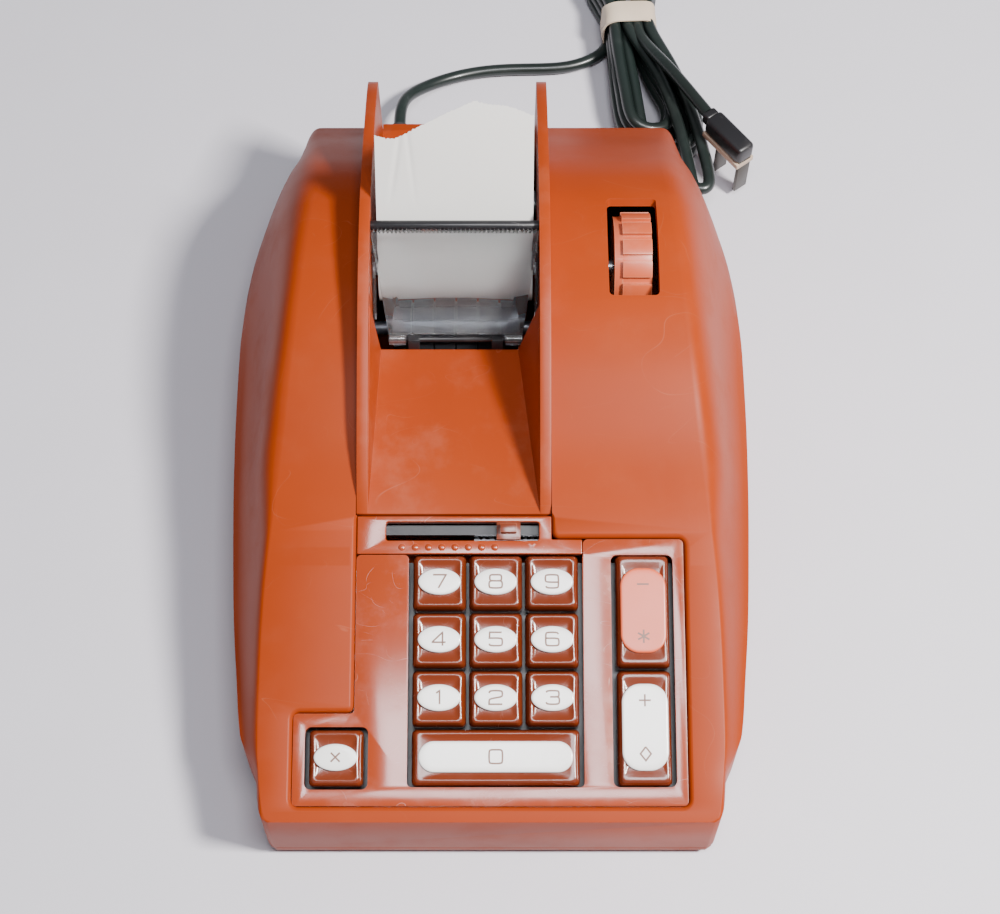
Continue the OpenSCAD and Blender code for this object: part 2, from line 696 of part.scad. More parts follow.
module type_drum() {
    rows = 10;
    color(steel) {
        across(drum_at, frame_left, gear_x + gear_t, shaft_r - 0.5);
        difference() {
            across(drum_at, channel_x - 23, channel_x + 23, drum_r);
            across(drum_at, -body_w, body_w, shaft_r - 0.6);
            for (i = [-2:2]) translate([channel_x - 0.4 + i * 8, drum_at[0], drum_at[1]]) rotate([0, 90, 0])
                difference() {
                    cylinder(h = 0.8, r = drum_r + 1);
                    translate([0, 0, -1]) cylinder(h = 3, r = drum_r - 1);
                }
            for (i = [0:rows - 1]) translate([0, drum_at[0], drum_at[1]]) rotate([i * 360 / rows, 0, 0])
                translate([-body_w, drum_r - 0.7, -0.5]) cube([2 * body_w, 3, 1]);
        }
    }
}

// Tooth outline: a trapezoid on the pitch circle, with backlash
function tooth(r, teeth, i) = let(step = 360 / teeth, a = i * step,
    root = r - 1.15 * gear_module, tip = r + 0.75 * gear_module)
    [root * [cos(a - 0.33 * step), sin(a - 0.33 * step)], tip * [cos(a - 0.12 * step), sin(a - 0.12 * step)],
     tip * [cos(a + 0.12 * step), sin(a + 0.12 * step)], root * [cos(a + 0.33 * step), sin(a + 0.33 * step)]];

module gear(at, teeth, x0, thick, bore, turn) {
    r = gear_module * teeth / 2;
    translate([x0, at[0], at[1]]) rotate([turn, 0, 0]) rotate([90, 0, 90]) difference() {
        linear_extrude(thick) polygon([for (i = [0:teeth - 1]) each tooth(r, teeth, i)]);
        translate([0, 0, -1]) cylinder(h = thick + 2, r = bore);
    }
}

module drive_gear() {
    color(white) gear(drum_at, gear_teeth, gear_x, gear_t, shaft_r - 0.5, mesh_angle);
}

module motor_pinion() {
    color(steel) {
        gear(motor_at, pinion_teeth, gear_x, gear_t, 1.5, mesh_angle + 180 + 180 / pinion_teeth);
        across(motor_at, gear_x, motor_x + motor_l - 4, 2);
    }
}

module motor() {
    color([0.35, 0.36, 0.38]) difference() {
        union() {
            across(motor_at, motor_x, motor_x + motor_l, motor_r);
            across(motor_at, motor_x - 2, motor_x + 1, 6);
            translate([motor_x + 4, motor_at[0] - 12, cover_z])
                cube([motor_l - 8, 24, motor_at[1] - cover_z]);
        }
        across(motor_at, 0, motor_x + motor_l - 3.5, 2 + run_gap);
    }
}

module ink_roller() {
    color(black) {
        across(ink_at, channel_x - 21, channel_x + 21, ink_r);
        across(ink_at, frame_left, frame_right + frame_t, 2);
    }
}

module side_frames() {
    color(steel) for (x = [frame_left, frame_right]) difference() {
        side_plate(x, x + frame_t, [[8, cover_z], [78, cover_z], [78, 46], [72, 70], [64, 78],
            [52, 78], [34, 60], [8, 50]]);
        across(platen_at, -body_w, body_w, shaft_r + run_gap);
        across(drum_at, -body_w, body_w, shaft_r - 0.5 + run_gap);
        across(ink_at, -body_w, body_w, 2 + run_gap);
    }
}

// ---- Mains lead ---------------------------------------------------------

module strain_relief() {
    color(black) translate([exit_x, rear_y, exit_z]) rotate([-90, 0, 0]) {
        translate([0, 0, -cover_wall - 2.3]) cylinder(h = 2.2, r = neck_r + 1.7);
        translate([0, 0, -cover_wall - 2]) cylinder(h = cover_wall + 2 + eps, r = neck_r);
        cylinder(h = 2, r = neck_r + 1.7);
        translate([0, 0, 2 - eps]) cylinder(h = relief_l - 2, r1 = neck_r + 0.8, r2 = cord_d / 2 + 0.6);
    }
}

function unit(v) = v / norm(v);

module cord_lead() {
    p = lead_points;
    count = len(p);
    sides = 8;
    rings = [for (i = [0:count - 1]) let(
        way = unit(p[min(i + 1, count - 1)] - p[max(i - 1, 0)]),
        across = unit(cross(way, [0, 0, 1])),
        up = cross(across, way))
        [for (j = [0:sides - 1]) let(a = 360 * (j + 0.5) / sides)
            p[i] + cord_d / 2 * (across * cos(a) + up * sin(a))]];
    color(cord_color) loft(rings);
}

function arc(at, r, from, to, steps) = [for (i = [0:steps])
    let(a = from + (to - from) * i / steps) at + r * [cos(a), sin(a)]];

module cord_hank() {
    color(cord_color) difference() {
        translate([0, 0, hank_z]) linear_extrude(hank_h) polygon(concat(hank_left,
            arc(hank_head, hank_head_r, 180, 0, 10), hank_right,
            arc(hank_loop, hank_loop_r, 0, -180, 10), [[79, 145], [76, 149]]));
        difference() {
            band_box(20, 0, 20);
            band_box(0, 1, 0);
        }
    }
}

// Box round the hank where the band grips it: grow widens it, longer lengthens it
module band_box(grow, longer, under) {
    translate([band_x[0] - grow, band_y[0] - longer, hank_z + band_t - under - (grow > 0 ? grow : 0)])
        cube([band_x[1] - band_x[0] + 2 * grow, band_y[1] - band_y[0] + 2 * longer,
            hank_h - 2 * band_t + under + 2 * grow]);
}

module hank_band() {
    color([0.86, 0.8, 0.7]) difference() {
        translate([band_x[0] - band_t, band_y[0] + 0.2, hank_z])
            cube([band_x[1] - band_x[0] + 2 * band_t, band_y[1] - band_y[0] - 0.4, hank_h]);
        band_box(0, 1, 0);
    }
}

module on_plug() {
    translate(plug_at) rotate([0, 0, plug_turn]) children();
}

module plug_body() {
    color(black) on_plug() hull() {
        translate([-plug_l / 2, -plug_w / 2, face_t]) cube([plug_l, plug_w, 4.2]);
        translate([-plug_l / 2 - 3, -plug_w / 2 + 1.2, face_t + 0.6]) cube([2, plug_w - 2.4, 5.2]);
        translate([-plug_l / 2 + 1, -plug_w / 2 + 1, face_t]) cube([plug_l - 2, plug_w - 2, 6]);
    }
}

module plug_face() {
    color([0.8, 0.7, 0.6]) on_plug() difference() {
        translate([-plug_l / 2, -plug_w / 2, 0]) cube([plug_l, plug_w, face_t]);
        for (x = blade_spots) blade(x);
    }
}

module blade(x) {
    translate([x - blade_t / 2, -blade_w / 2, -blade_l]) cube([blade_t, blade_w, blade_l + 3]);
}

module plug_pins() {
    color(steel) on_plug() for (x = blade_spots) blade(x);
}

base_tray();
feet();
case_screws();
upper_cover();
paper_channel();
keyboard_plate();
scale_strip();
key_guide();
spring_comb();
side_frames();
carriage_rail();
entry_pointer();
pin_carriage();
for (k = key_spots) {
    key_cap(k);
    key_insert(k);
}
tear_off_window();
window_hinge();
paper_bail();
platen_roller();
platen_shaft();
feed_thumbwheel();
paper_roll();
roll_spindle();
paper_strip();
type_drum();
drive_gear();
ink_roller();
motor();
motor_pinion();
strain_relief();
cord_lead();
cord_hank();
hank_band();
plug_body();
plug_face();
plug_pins();
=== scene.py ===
"""A printing desk calculator of the early 1970s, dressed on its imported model: moulded
case, keyboard, printing unit, paper and mains lead, on a pale studio floor."""

import math
import random

import bmesh
import bpy
from mathutils import Matrix, Vector


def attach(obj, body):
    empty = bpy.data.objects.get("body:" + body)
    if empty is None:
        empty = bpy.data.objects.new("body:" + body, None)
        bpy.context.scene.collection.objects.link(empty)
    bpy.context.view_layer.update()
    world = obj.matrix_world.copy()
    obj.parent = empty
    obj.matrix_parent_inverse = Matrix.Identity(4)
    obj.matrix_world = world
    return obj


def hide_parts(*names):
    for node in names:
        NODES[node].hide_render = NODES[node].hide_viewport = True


bl_info = {
    "name": "Printing Desk Calculator",
    "version": (1, 0, 0),
    "blender": (4, 5, 0),
    "location": "View3D > Sidebar > Calculator",
    "description": "Builds a printing desk calculator on its packed frame",
    "category": "Add Mesh",
}

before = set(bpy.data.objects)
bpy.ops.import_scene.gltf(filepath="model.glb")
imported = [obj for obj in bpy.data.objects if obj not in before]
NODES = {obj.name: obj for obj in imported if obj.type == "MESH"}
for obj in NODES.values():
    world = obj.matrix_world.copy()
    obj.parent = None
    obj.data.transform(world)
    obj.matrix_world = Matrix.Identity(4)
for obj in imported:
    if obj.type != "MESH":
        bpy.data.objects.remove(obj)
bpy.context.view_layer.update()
MM = 0.001


# ---- Measures shared by the pieces ---------------------------------------

FRONT_Y = -143.0
REAR_Y = 143.0
LEAD_X, LEAD_Z = -38.0, 14.5
LEAD_HOLE_R = 4.3
BODY_L = 286.0
BODY_W = 190.0
RIM_H = 36.0
CROWN_H = 85.5
WALL = 2.4
COVER_Z = 8.0
DECK_TILT = math.radians(14.8)
DECK_ORIGIN = Vector((0.0, -137.3, 36.006))
CHANNEL_X = -12.9
PAPER_W = 56.0
PLATEN = Vector((0.0, 58.0, 68.0))
ROLL = Vector((0.0, 104.0, 42.0))
ROLL_R = 24.0
PAPER_LEAN = math.radians(56.0)
CHAN_LEFT = -43.0
CHAN_RIGHT = 17.2
FIN_T = 3.8


def deck(x, s, n):
    """A point of the keyboard frame (across, up the slope, out of the plate), in metres."""
    c, d = math.cos(DECK_TILT), math.sin(DECK_TILT)
    return Vector((x, DECK_ORIGIN.y + s * c - n * d, DECK_ORIGIN.z + s * d + n * c)) * MM


DECK = Matrix.Translation(DECK_ORIGIN * MM) @ Matrix.Rotation(DECK_TILT, 4, "X")


# ---- Sizes and colours a user would change -------------------------------

def colour(name, description, value):
    return bpy.props.FloatVectorProperty(
        name=name, description=description, default=value, size=3, min=0.0, max=1.0, subtype="COLOR")


class CaseSettings(bpy.types.PropertyGroup):
    """Case mouldings."""

    colour: colour("Case Colour", "Colour of the orange mouldings", (0.3, 0.038, 0.0045))
    edge_radius: bpy.props.FloatProperty(
        name="Edge Radius", description="Radius on the mouldings' outer edges", default=0.0004,
        min=0.0001, max=0.001, unit="LENGTH", subtype="DISTANCE")
    lip: bpy.props.FloatProperty(
        name="Deck Lip", description="Width of the soft edge round the keyboard plate", default=0.002,
        min=0.0005, max=0.003, unit="LENGTH", subtype="DISTANCE")


class KeySettings(bpy.types.PropertyGroup):
    """Keys and their legends."""

    cap_colour: colour("Cap Colour", "Colour of the key caps", (0.15, 0.024, 0.006))
    insert_colour: colour("Insert Colour", "Colour of the white inserts", (0.9, 0.89, 0.86))
    accent_colour: colour("Accent Colour", "Colour of the salmon insert", (0.68, 0.115, 0.045))
    legend_colour: colour("Legend Colour", "Colour of the printed legends", (0.17, 0.075, 0.045))
    dish: bpy.props.FloatProperty(
        name="Dish", description="Depth of the dish in each cap", default=0.0011,
        min=0.0, max=0.0015, unit="LENGTH", subtype="DISTANCE")
    legend_width: bpy.props.FloatProperty(
        name="Legend Stroke", description="Width of a legend's stroke", default=0.0006,
        min=0.0002, max=0.0008, unit="LENGTH", subtype="DISTANCE")


class PaperSettings(bpy.types.PropertyGroup):
    """Paper strip and roll."""

    colour: colour("Paper Colour", "Colour of the paper", (0.72, 0.71, 0.68))
    tear: bpy.props.FloatProperty(
        name="Tear", description="Height of the torn edge's slope", default=0.013,
        min=0.0, max=0.018, unit="LENGTH", subtype="DISTANCE")


class PrinterSettings(bpy.types.PropertyGroup):
    """Printing unit."""

    wheel_colour: colour("Wheel Colour", "Colour of the paper feed thumbwheel", (0.5, 0.085, 0.028))
    metal_colour: colour("Metal Colour", "Colour of plated steel", (0.56, 0.57, 0.6))


class LeadSettings(bpy.types.PropertyGroup):
    """Mains lead."""

    length: bpy.props.FloatProperty(
        name="Length", description="Real length of the lead", default=1.9,
        min=1.7, max=2.1, unit="LENGTH", subtype="DISTANCE")
    diameter: bpy.props.FloatProperty(
        name="Diameter", description="Diameter of the lead", default=0.005,
        min=0.005, max=0.0065, unit="LENGTH", subtype="DISTANCE")
    colour: colour("Lead Colour", "Colour of the lead's sheath", (0.012, 0.019, 0.017))
    band_colour: colour("Band Colour", "Colour of the tape round the hank", (0.72, 0.6, 0.46))


class StageSettings(bpy.types.PropertyGroup):
    """Floor, lights and camera."""

    floor_colour: colour("Floor Colour", "Colour of the floor", (0.66, 0.645, 0.7))
    key_power: bpy.props.FloatProperty(
        name="Key Light", description="Power of the soft light at the right", default=27.0,
        min=0.0, max=100.0, unit="POWER")
    top_power: bpy.props.FloatProperty(
        name="Top Light", description="Power of the softbox over the keyboard", default=8.0,
        min=0.0, max=100.0, unit="POWER")
    lens: bpy.props.FloatProperty(
        name="Lens", description="Focal length on a 36 mm sensor, in millimetres", default=72.0,
        min=35.0, max=135.0)


# ---- Making and placing pieces -------------------------------------------

def settle(name, bm, body, material, angle=35.0, stands_for=()):
    """Turns a bmesh, already in place, into a piece that rides on a body."""
    mesh = bpy.data.meshes.new(name)
    bm.to_mesh(mesh)
    bm.free()
    mesh.materials.append(material)
    mesh.shade_smooth()
    mesh.set_sharp_from_angle(angle=math.radians(angle))
    piece = bpy.data.objects.new(name, mesh)
    bpy.context.scene.collection.objects.link(piece)
    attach(piece, body)
    if stands_for:
        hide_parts(*stands_for)
    return piece


def merged_copy(node):
    """A CAD node's mesh as one joined surface with its flat faces whole."""
    bm = bmesh.new()
    bm.from_mesh(NODES[node].data)
    bmesh.ops.remove_doubles(bm, verts=bm.verts, dist=2e-6)
    bmesh.ops.dissolve_limit(bm, angle_limit=math.radians(0.6), verts=bm.verts, edges=bm.edges)
    return bm


def round_edges(bm, radius, segments=2, angle=30.0, chosen=None):
    sharp = [e for e in bm.edges
             if e.is_manifold and e.calc_face_angle(0.0) > math.radians(angle)
             and (chosen is None or chosen(e))]
    bmesh.ops.bevel(bm, geom=sharp, offset=radius, offset_type="OFFSET", segments=segments,
                    profile=0.5, affect="EDGES", clamp_overlap=True, material=-1)


def softened(node, name, body, material, radius=0.0003, segments=2, angle=30.0, shade=35.0):
    """A CAD node's shape with rounded edges, standing for that node."""
    bm = merged_copy(node)
    round_edges(bm, radius, segments, angle)
    return settle(name, bm, body, material, shade, (node,))


def dress(node, material):
    """Gives a CAD node that keeps its shape its finish."""
    mesh = NODES[node].data
    mesh.materials.clear()
    mesh.materials.append(material)


def cut(piece, cutter):
    """Takes the cutter's shape out of a piece, and removes the cutter."""
    step = piece.modifiers.new("cut", "BOOLEAN")
    step.operation = "DIFFERENCE"
    step.solver = "EXACT"
    step.object = cutter
    graph = bpy.context.evaluated_depsgraph_get()
    made = bpy.data.meshes.new_from_object(piece.evaluated_get(graph))
    piece.modifiers.clear()
    piece.data = made
    bpy.data.objects.remove(cutter)


def loose_object(name, bm):
    mesh = bpy.data.meshes.new(name)
    bm.to_mesh(mesh)
    bm.free()
    made = bpy.data.objects.new(name, mesh)
    bpy.context.scene.collection.objects.link(made)
    bpy.context.view_layer.update()
    return made


def block(x0, x1, y0, y1, z0, z1, place=None):
    """A box between six planes in millimetres, turned by place."""
    bm = bmesh.new()
    size = Matrix.Diagonal(((x1 - x0) * MM, (y1 - y0) * MM, (z1 - z0) * MM, 1.0))
    middle = Matrix.Translation(Vector(((x0 + x1) / 2, (y0 + y1) / 2, (z0 + z1) / 2)) * MM)
    bmesh.ops.create_cube(bm, size=1.0, matrix=(place or Matrix()) @ middle @ size)
    return bm


def bridge(bm, rings):
    """Skins closed rings of vertices, and closes both ends."""
    for one, two in zip(rings, rings[1:]):
        edges = [e for ring in (one, two) for e in ring["edges"]]
        bmesh.ops.bridge_loops(bm, edges=edges)
    for ring in (rings[0], rings[-1]):
        bmesh.ops.contextual_create(bm, geom=ring["edges"])
    bmesh.ops.recalc_face_normals(bm, faces=bm.faces)


def ring_of(bm, points):
    verts = [bm.verts.new(p) for p in points]
    edges = [bm.edges.new((a, b)) for a, b in zip(verts, verts[1:] + verts[:1])]
    return {"verts": verts, "edges": edges}


# ---- Surface effects, shared by the materials ----------------------------

def add_node(tree, kind, inputs=None, **settings):
    made = tree.nodes.new(kind)
    for key, value in settings.items():
        setattr(made, key, value)
    for key, value in (inputs or {}).items():
        socket = made.inputs[key]
        if isinstance(value, bpy.types.NodeSocket):
            tree.links.new(value, socket)
        else:
            socket.default_value = value
    return made


def new_group(name, inputs, outputs):
    """A shader node group with named sockets. Returns the group, its inputs and its output node."""
    group = bpy.data.node_groups.new(name, "ShaderNodeTree")
    for label, kind, value in inputs:
        socket = group.interface.new_socket(name=label, in_out="INPUT", socket_type=kind)
        socket.default_value = value
    for label, kind in outputs:
        group.interface.new_socket(name=label, in_out="OUTPUT", socket_type=kind)
    return group, group.nodes.new("NodeGroupInput").outputs, group.nodes.new("NodeGroupOutput").inputs


def maths(tree, operation, a, b=0.0, c=0.0, clamp=False):
    return add_node(tree, "ShaderNodeMath", {0: a, 1: b, 2: c},
                    operation=operation, use_clamp=clamp).outputs[0]


def blend_colours(tree, share, a, b, mode="MIX"):
    made = add_node(tree, "ShaderNodeMix", data_type="RGBA", blend_type=mode)
    for socket, value in ((made.inputs[0], share), (made.inputs[6], a), (made.inputs[7], b)):
        if isinstance(value, bpy.types.NodeSocket):
            tree.links.new(value, socket)
        else:
            socket.default_value = value
    return made.outputs[2]


def noise_at(tree, place, scale, detail=3.0, roughness=0.5, distortion=0.0):
    return add_node(tree, "ShaderNodeTexNoise", {
        "Vector": place, "Scale": scale, "Detail": detail, "Roughness": roughness,
        "Distortion": distortion}).outputs["Fac"]


def band(tree, value, low, high, bottom=0.0, top=1.0):
    return add_node(tree, "ShaderNodeMapRange", {
        "Value": value, "From Min": low, "From Max": high, "To Min": bottom, "To Max": top},
        interpolation_type="SMOOTHSTEP").outputs["Result"]


def build_scratches():
    """Fine hairline scratches in three directions, gathered in patches."""
    group, given, out = new_group(
        "hairline_scratches", [("Amount", "NodeSocketFloat", 0.5), ("Scale", "NodeSocketFloat", 1.0)],
        [("Mask", "NodeSocketFloat")])
    place = add_node(group, "ShaderNodeTexCoord").outputs["Object"]
    scaled = add_node(group, "ShaderNodeVectorMath", {0: place}, operation="SCALE")
    group.links.new(given["Scale"], scaled.inputs["Scale"])
    total = None
    for turn, stretch, limit in ((0.5, 22.0, 0.0016), (2.1, 15.0, 0.0013), (1.25, 30.0, 0.0012)):
        turned_place = add_node(group, "ShaderNodeMapping", {
            "Vector": scaled.outputs[0], "Rotation": (0.15, 0.1, turn),
            "Scale": (stretch, 1.6 * stretch, stretch)})
        wander = noise_at(group, turned_place.outputs[0], 1.0, 1.0, 0.4, 0.6)
        line = maths(group, "ABSOLUTE", maths(group, "SUBTRACT", wander, 0.5))
        mark = band(group, line, 0.0, limit, 1.0, 0.0)
        patch = band(group, noise_at(group, turned_place.outputs[0], 2.3, 2.0), 0.5, 0.62)
        mark = maths(group, "MULTIPLY", mark, patch)
        total = mark if total is None else maths(group, "MAXIMUM", total, mark)
    group.links.new(maths(group, "MULTIPLY", total, given["Amount"], clamp=True), out["Mask"])
    return group


def build_worn_edges():
    """Where a surface turns a corner: a thin rubbed line, broken up."""
    group, given, out = new_group(
        "worn_edges", [("Width", "NodeSocketFloat", 0.0006), ("Amount", "NodeSocketFloat", 0.6)],
        [("Mask", "NodeSocketFloat")])
    place = add_node(group, "ShaderNodeTexCoord").outputs["Object"]
    rounded = add_node(group, "ShaderNodeBevel", samples=6)
    group.links.new(given["Width"], rounded.inputs["Radius"])
    flat = add_node(group, "ShaderNodeNewGeometry").outputs["Normal"]
    cosine = add_node(group, "ShaderNodeVectorMath", {0: rounded.outputs[0], 1: flat},
                      operation="DOT_PRODUCT")
    corner = band(group, cosine.outputs["Value"], 0.995, 0.9)
    broken = band(group, noise_at(group, place, 160.0, 4.0, 0.6), 0.3, 0.7, 0.35, 1.0)
    mask = maths(group, "MULTIPLY", maths(group, "MULTIPLY", corner, broken), given["Amount"], clamp=True)
    group.links.new(mask, out["Mask"])
    return group


def build_mottle():
    """Slow colour drift, dust in patches, and a fine grain."""
    group, given, out = new_group(
        "mottle", [("Color", "NodeSocketColor", (0.5, 0.5, 0.5, 1.0)),
                   ("Dust", "NodeSocketColor", (0.6, 0.58, 0.55, 1.0)),
                   ("Drift", "NodeSocketFloat", 0.12), ("Dust Amount", "NodeSocketFloat", 0.1),
                   ("Grain Scale", "NodeSocketFloat", 1500.0)],
        [("Color", "NodeSocketColor"), ("Patches", "NodeSocketFloat"), ("Grain", "NodeSocketFloat")])
    place = add_node(group, "ShaderNodeTexCoord").outputs["Object"]
    slow = noise_at(group, place, 14.0, 3.0, 0.55)
    dark = blend_colours(group, 1.0, given["Color"], (0.72, 0.66, 0.64, 1.0), "MULTIPLY")
    drifted = blend_colours(group, maths(group, "MULTIPLY", band(group, slow, 0.35, 0.7),
                                         maths(group, "MULTIPLY", given["Drift"], 4.0)), given["Color"], dark)
    patches = band(group, noise_at(group, place, 46.0, 5.0, 0.65), 0.45, 0.75)
    dusty = blend_colours(group, maths(group, "MULTIPLY", patches, given["Dust Amount"]), drifted,
                          given["Dust"])
    grain = add_node(group, "ShaderNodeTexNoise", {"Vector": place, "Detail": 2.0})
    group.links.new(given["Grain Scale"], grain.inputs["Scale"])
    group.links.new(dusty, out["Color"])
    group.links.new(patches, out["Patches"])
    group.links.new(grain.outputs["Fac"], out["Grain"])
    return group


GROUPS = {}


def group_of(name):
    builders = {"scratches": build_scratches, "edges": build_worn_edges, "mottle": build_mottle}
    if name not in GROUPS:
        GROUPS[name] = builders[name]()
    return GROUPS[name]


def place_group(tree, name, inputs):
    made = add_node(tree, "ShaderNodeGroup", node_tree=group_of(name))
    for key, value in inputs.items():
        made.inputs[key].default_value = value
    return made.outputs


def wash(rgb):
    return (rgb[0], rgb[1], rgb[2], 1.0)


def shade(rgb, factor):
    return (rgb[0] * factor, rgb[1] * factor, rgb[2] * factor, 1.0)


MATERIALS = {}


def finish_of(name, rgb, rough, drift=0.1, dust=0.05, dust_rgb=(0.55, 0.52, 0.5),
              grain=1500.0, grain_depth=0.02,
              scratches=0.0, scratch_scale=1.0, wear=0.0, wear_rgb=None, wear_width=0.0005, rough_spread=0.08,
              fixed=None):
    """A material of mottle, scratches and worn edges over one base. Built once for each name."""
    if name in MATERIALS:
        return MATERIALS[name]
    material = bpy.data.materials.new(name)
    material.use_nodes = True
    tree = material.node_tree
    shader = tree.nodes["Principled BSDF"]
    mottle = place_group(tree, "mottle", {
        "Color": wash(rgb), "Dust": wash(dust_rgb), "Drift": drift,
        "Dust Amount": dust, "Grain Scale": grain})
    colour_out = mottle["Color"]
    rough_out = maths(tree, "MULTIPLY_ADD", mottle["Patches"], rough_spread, rough)
    height = maths(tree, "MULTIPLY", mottle["Grain"], 1.0)
    if scratches:
        marks = place_group(tree, "scratches", {"Amount": scratches, "Scale": scratch_scale})["Mask"]
        colour_out = blend_colours(tree, maths(tree, "MULTIPLY", marks, 0.35), colour_out, wash(dust_rgb))
        rough_out = maths(tree, "MULTIPLY_ADD", marks, 0.25, rough_out)
        height = maths(tree, "MULTIPLY_ADD", marks, -2.0, height)
    if wear:
        worn = place_group(tree, "edges", {"Width": wear_width, "Amount": wear})["Mask"]
        paler = wear_rgb or [min(1.0, c * 1.5 + 0.05) for c in rgb]
        colour_out = blend_colours(tree, worn, colour_out, wash(paler))
        rough_out = maths(tree, "MULTIPLY_ADD", worn, 0.12, rough_out)
    tree.links.new(colour_out, shader.inputs["Base Color"])
    tree.links.new(rough_out, shader.inputs["Roughness"])
    bump = add_node(tree, "ShaderNodeBump", {"Height": height, "Strength": 0.35,
                                               "Distance": grain_depth * MM})
    tree.links.new(bump.outputs[0], shader.inputs["Normal"])
    for socket, value in (fixed or {}).items():
        shader.inputs[socket].default_value = value
    MATERIALS[name] = material
    return material


def orange_abs():
    rgb = bpy.context.scene.calc_case.colour
    return finish_of("orange_abs", rgb, 0.4, drift=0.07, dust=0.012, dust_rgb=(0.7, 0.36, 0.24), grain=2600.0,
                     scratches=0.2, wear=0.25, fixed={"Specular IOR Level": 0.12})


def plate_abs():
    rgb = bpy.context.scene.calc_case.colour
    return finish_of("plate_abs", rgb, 0.2, drift=0.08, dust=0.07, dust_rgb=(0.78, 0.5, 0.44), grain=1800.0,
                     grain_depth=0.015, scratches=0.9, scratch_scale=1.7, wear=0.55, wear_width=0.0004,
                     rough_spread=0.12, fixed={"Coat Weight": 0.3, "Coat Roughness": 0.1})


def cap_abs():
    rgb = bpy.context.scene.calc_keys.cap_colour
    return finish_of("cap_abs", rgb, 0.2, drift=0.1, dust=0.04, dust_rgb=(0.5, 0.26, 0.2), grain=3000.0,
                     scratches=0.5, scratch_scale=2.5,
                     wear=0.55, wear_rgb=(0.62, 0.22, 0.13), wear_width=0.0004,
                     fixed={"Coat Weight": 0.2, "Coat Roughness": 0.1})


def white_abs():
    rgb = bpy.context.scene.calc_keys.insert_colour
    return finish_of("white_abs", rgb, 0.22, drift=0.04, dust=0.08, dust_rgb=(0.62, 0.53, 0.43), grain=2500.0,
                     scratches=0.3, scratch_scale=3.0, fixed={"Coat Weight": 0.2})


def salmon_abs():
    rgb = bpy.context.scene.calc_keys.accent_colour
    return finish_of("salmon_abs", rgb, 0.3, drift=0.06, dust=0.05, dust_rgb=(0.8, 0.42, 0.32), grain=2200.0,
                     scratches=0.4, scratch_scale=2.6)


def legend_ink():
    rgb = bpy.context.scene.calc_keys.legend_colour
    return finish_of("legend_ink", rgb, 0.35, drift=0.1, dust=0.08, grain=4000.0)


def wheel_abs():
    rgb = bpy.context.scene.calc_printer.wheel_colour
    return finish_of("wheel_abs", rgb, 0.36, drift=0.1, dust=0.1, dust_rgb=(0.85, 0.5, 0.4), grain=2400.0,
                     wear=0.5, wear_rgb=(0.82, 0.34, 0.2), wear_width=0.0006)


def steel():
    rgb = bpy.context.scene.calc_printer.metal_colour
    return finish_of("plated_steel", rgb, 0.3, drift=0.08, dust=0.12, dust_rgb=(0.3, 0.28, 0.25),
                     grain=1400.0,
                     scratches=0.7, scratch_scale=2.0, fixed={"Metallic": 1.0})


def brass():
    return finish_of("pin_brass", (0.66, 0.5, 0.24), 0.28, drift=0.1, dust=0.12, dust_rgb=(0.3, 0.2, 0.1),
                     scratches=0.7, scratch_scale=4.0, fixed={"Metallic": 1.0})


def black_plastic():
    return finish_of("black_plastic", (0.012, 0.012, 0.014), 0.34, drift=0.2, dust=0.05, grain=2200.0,
                     scratches=0.4, scratch_scale=2.0, wear=0.3, wear_rgb=(0.1, 0.1, 0.105))


def dark_cavity():
    return finish_of("dark_cavity", (0.006, 0.006, 0.007), 0.75, drift=0.1, dust=0.03)


def black_rubber():
    return finish_of("black_rubber", (0.02, 0.02, 0.021), 0.62, drift=0.25, dust=0.12, grain=900.0,
                     grain_depth=0.05, wear=0.3, wear_rgb=(0.09, 0.09, 0.09))


def inked_felt():
    return finish_of("inked_felt", (0.012, 0.008, 0.03), 0.9, drift=0.4, dust=0.05, grain=700.0,
                     grain_depth=0.2,
                     fixed={"Sheen Weight": 0.3})


def nylon():
    return finish_of("natural_nylon", (0.7, 0.67, 0.56), 0.4, drift=0.1, dust=0.15, dust_rgb=(0.3, 0.25, 0.2),
                     grain=1500.0)


def motor_enamel():
    return finish_of("motor_enamel", (0.09, 0.095, 0.105), 0.38, drift=0.2, dust=0.15, grain=1100.0,
                     scratches=0.5,
                     wear=0.6, wear_rgb=(0.45, 0.45, 0.47))


def paper():
    rgb = bpy.context.scene.calc_paper.colour
    made = finish_of("paper", rgb, 0.82, drift=0.04, dust=0.05, dust_rgb=(0.55, 0.53, 0.52), grain=1300.0,
                     grain_depth=0.04, rough_spread=0.05, fixed={"Sheen Weight": 0.08})
    return made


def cord_sheath():
    rgb = bpy.context.scene.calc_lead.colour
    return finish_of("cord_sheath", rgb, 0.33, drift=0.25, dust=0.05, dust_rgb=(0.2, 0.22, 0.21),
                     grain=1200.0,
                     grain_depth=0.03, scratches=0.3, scratch_scale=2.0, fixed={"Coat Weight": 0.1})


def tape():
    rgb = bpy.context.scene.calc_lead.band_colour
    return finish_of("hank_tape", rgb, 0.55, drift=0.25, dust=0.12, dust_rgb=(0.42, 0.33, 0.24), grain=500.0,
                     grain_depth=0.16, rough_spread=0.15)


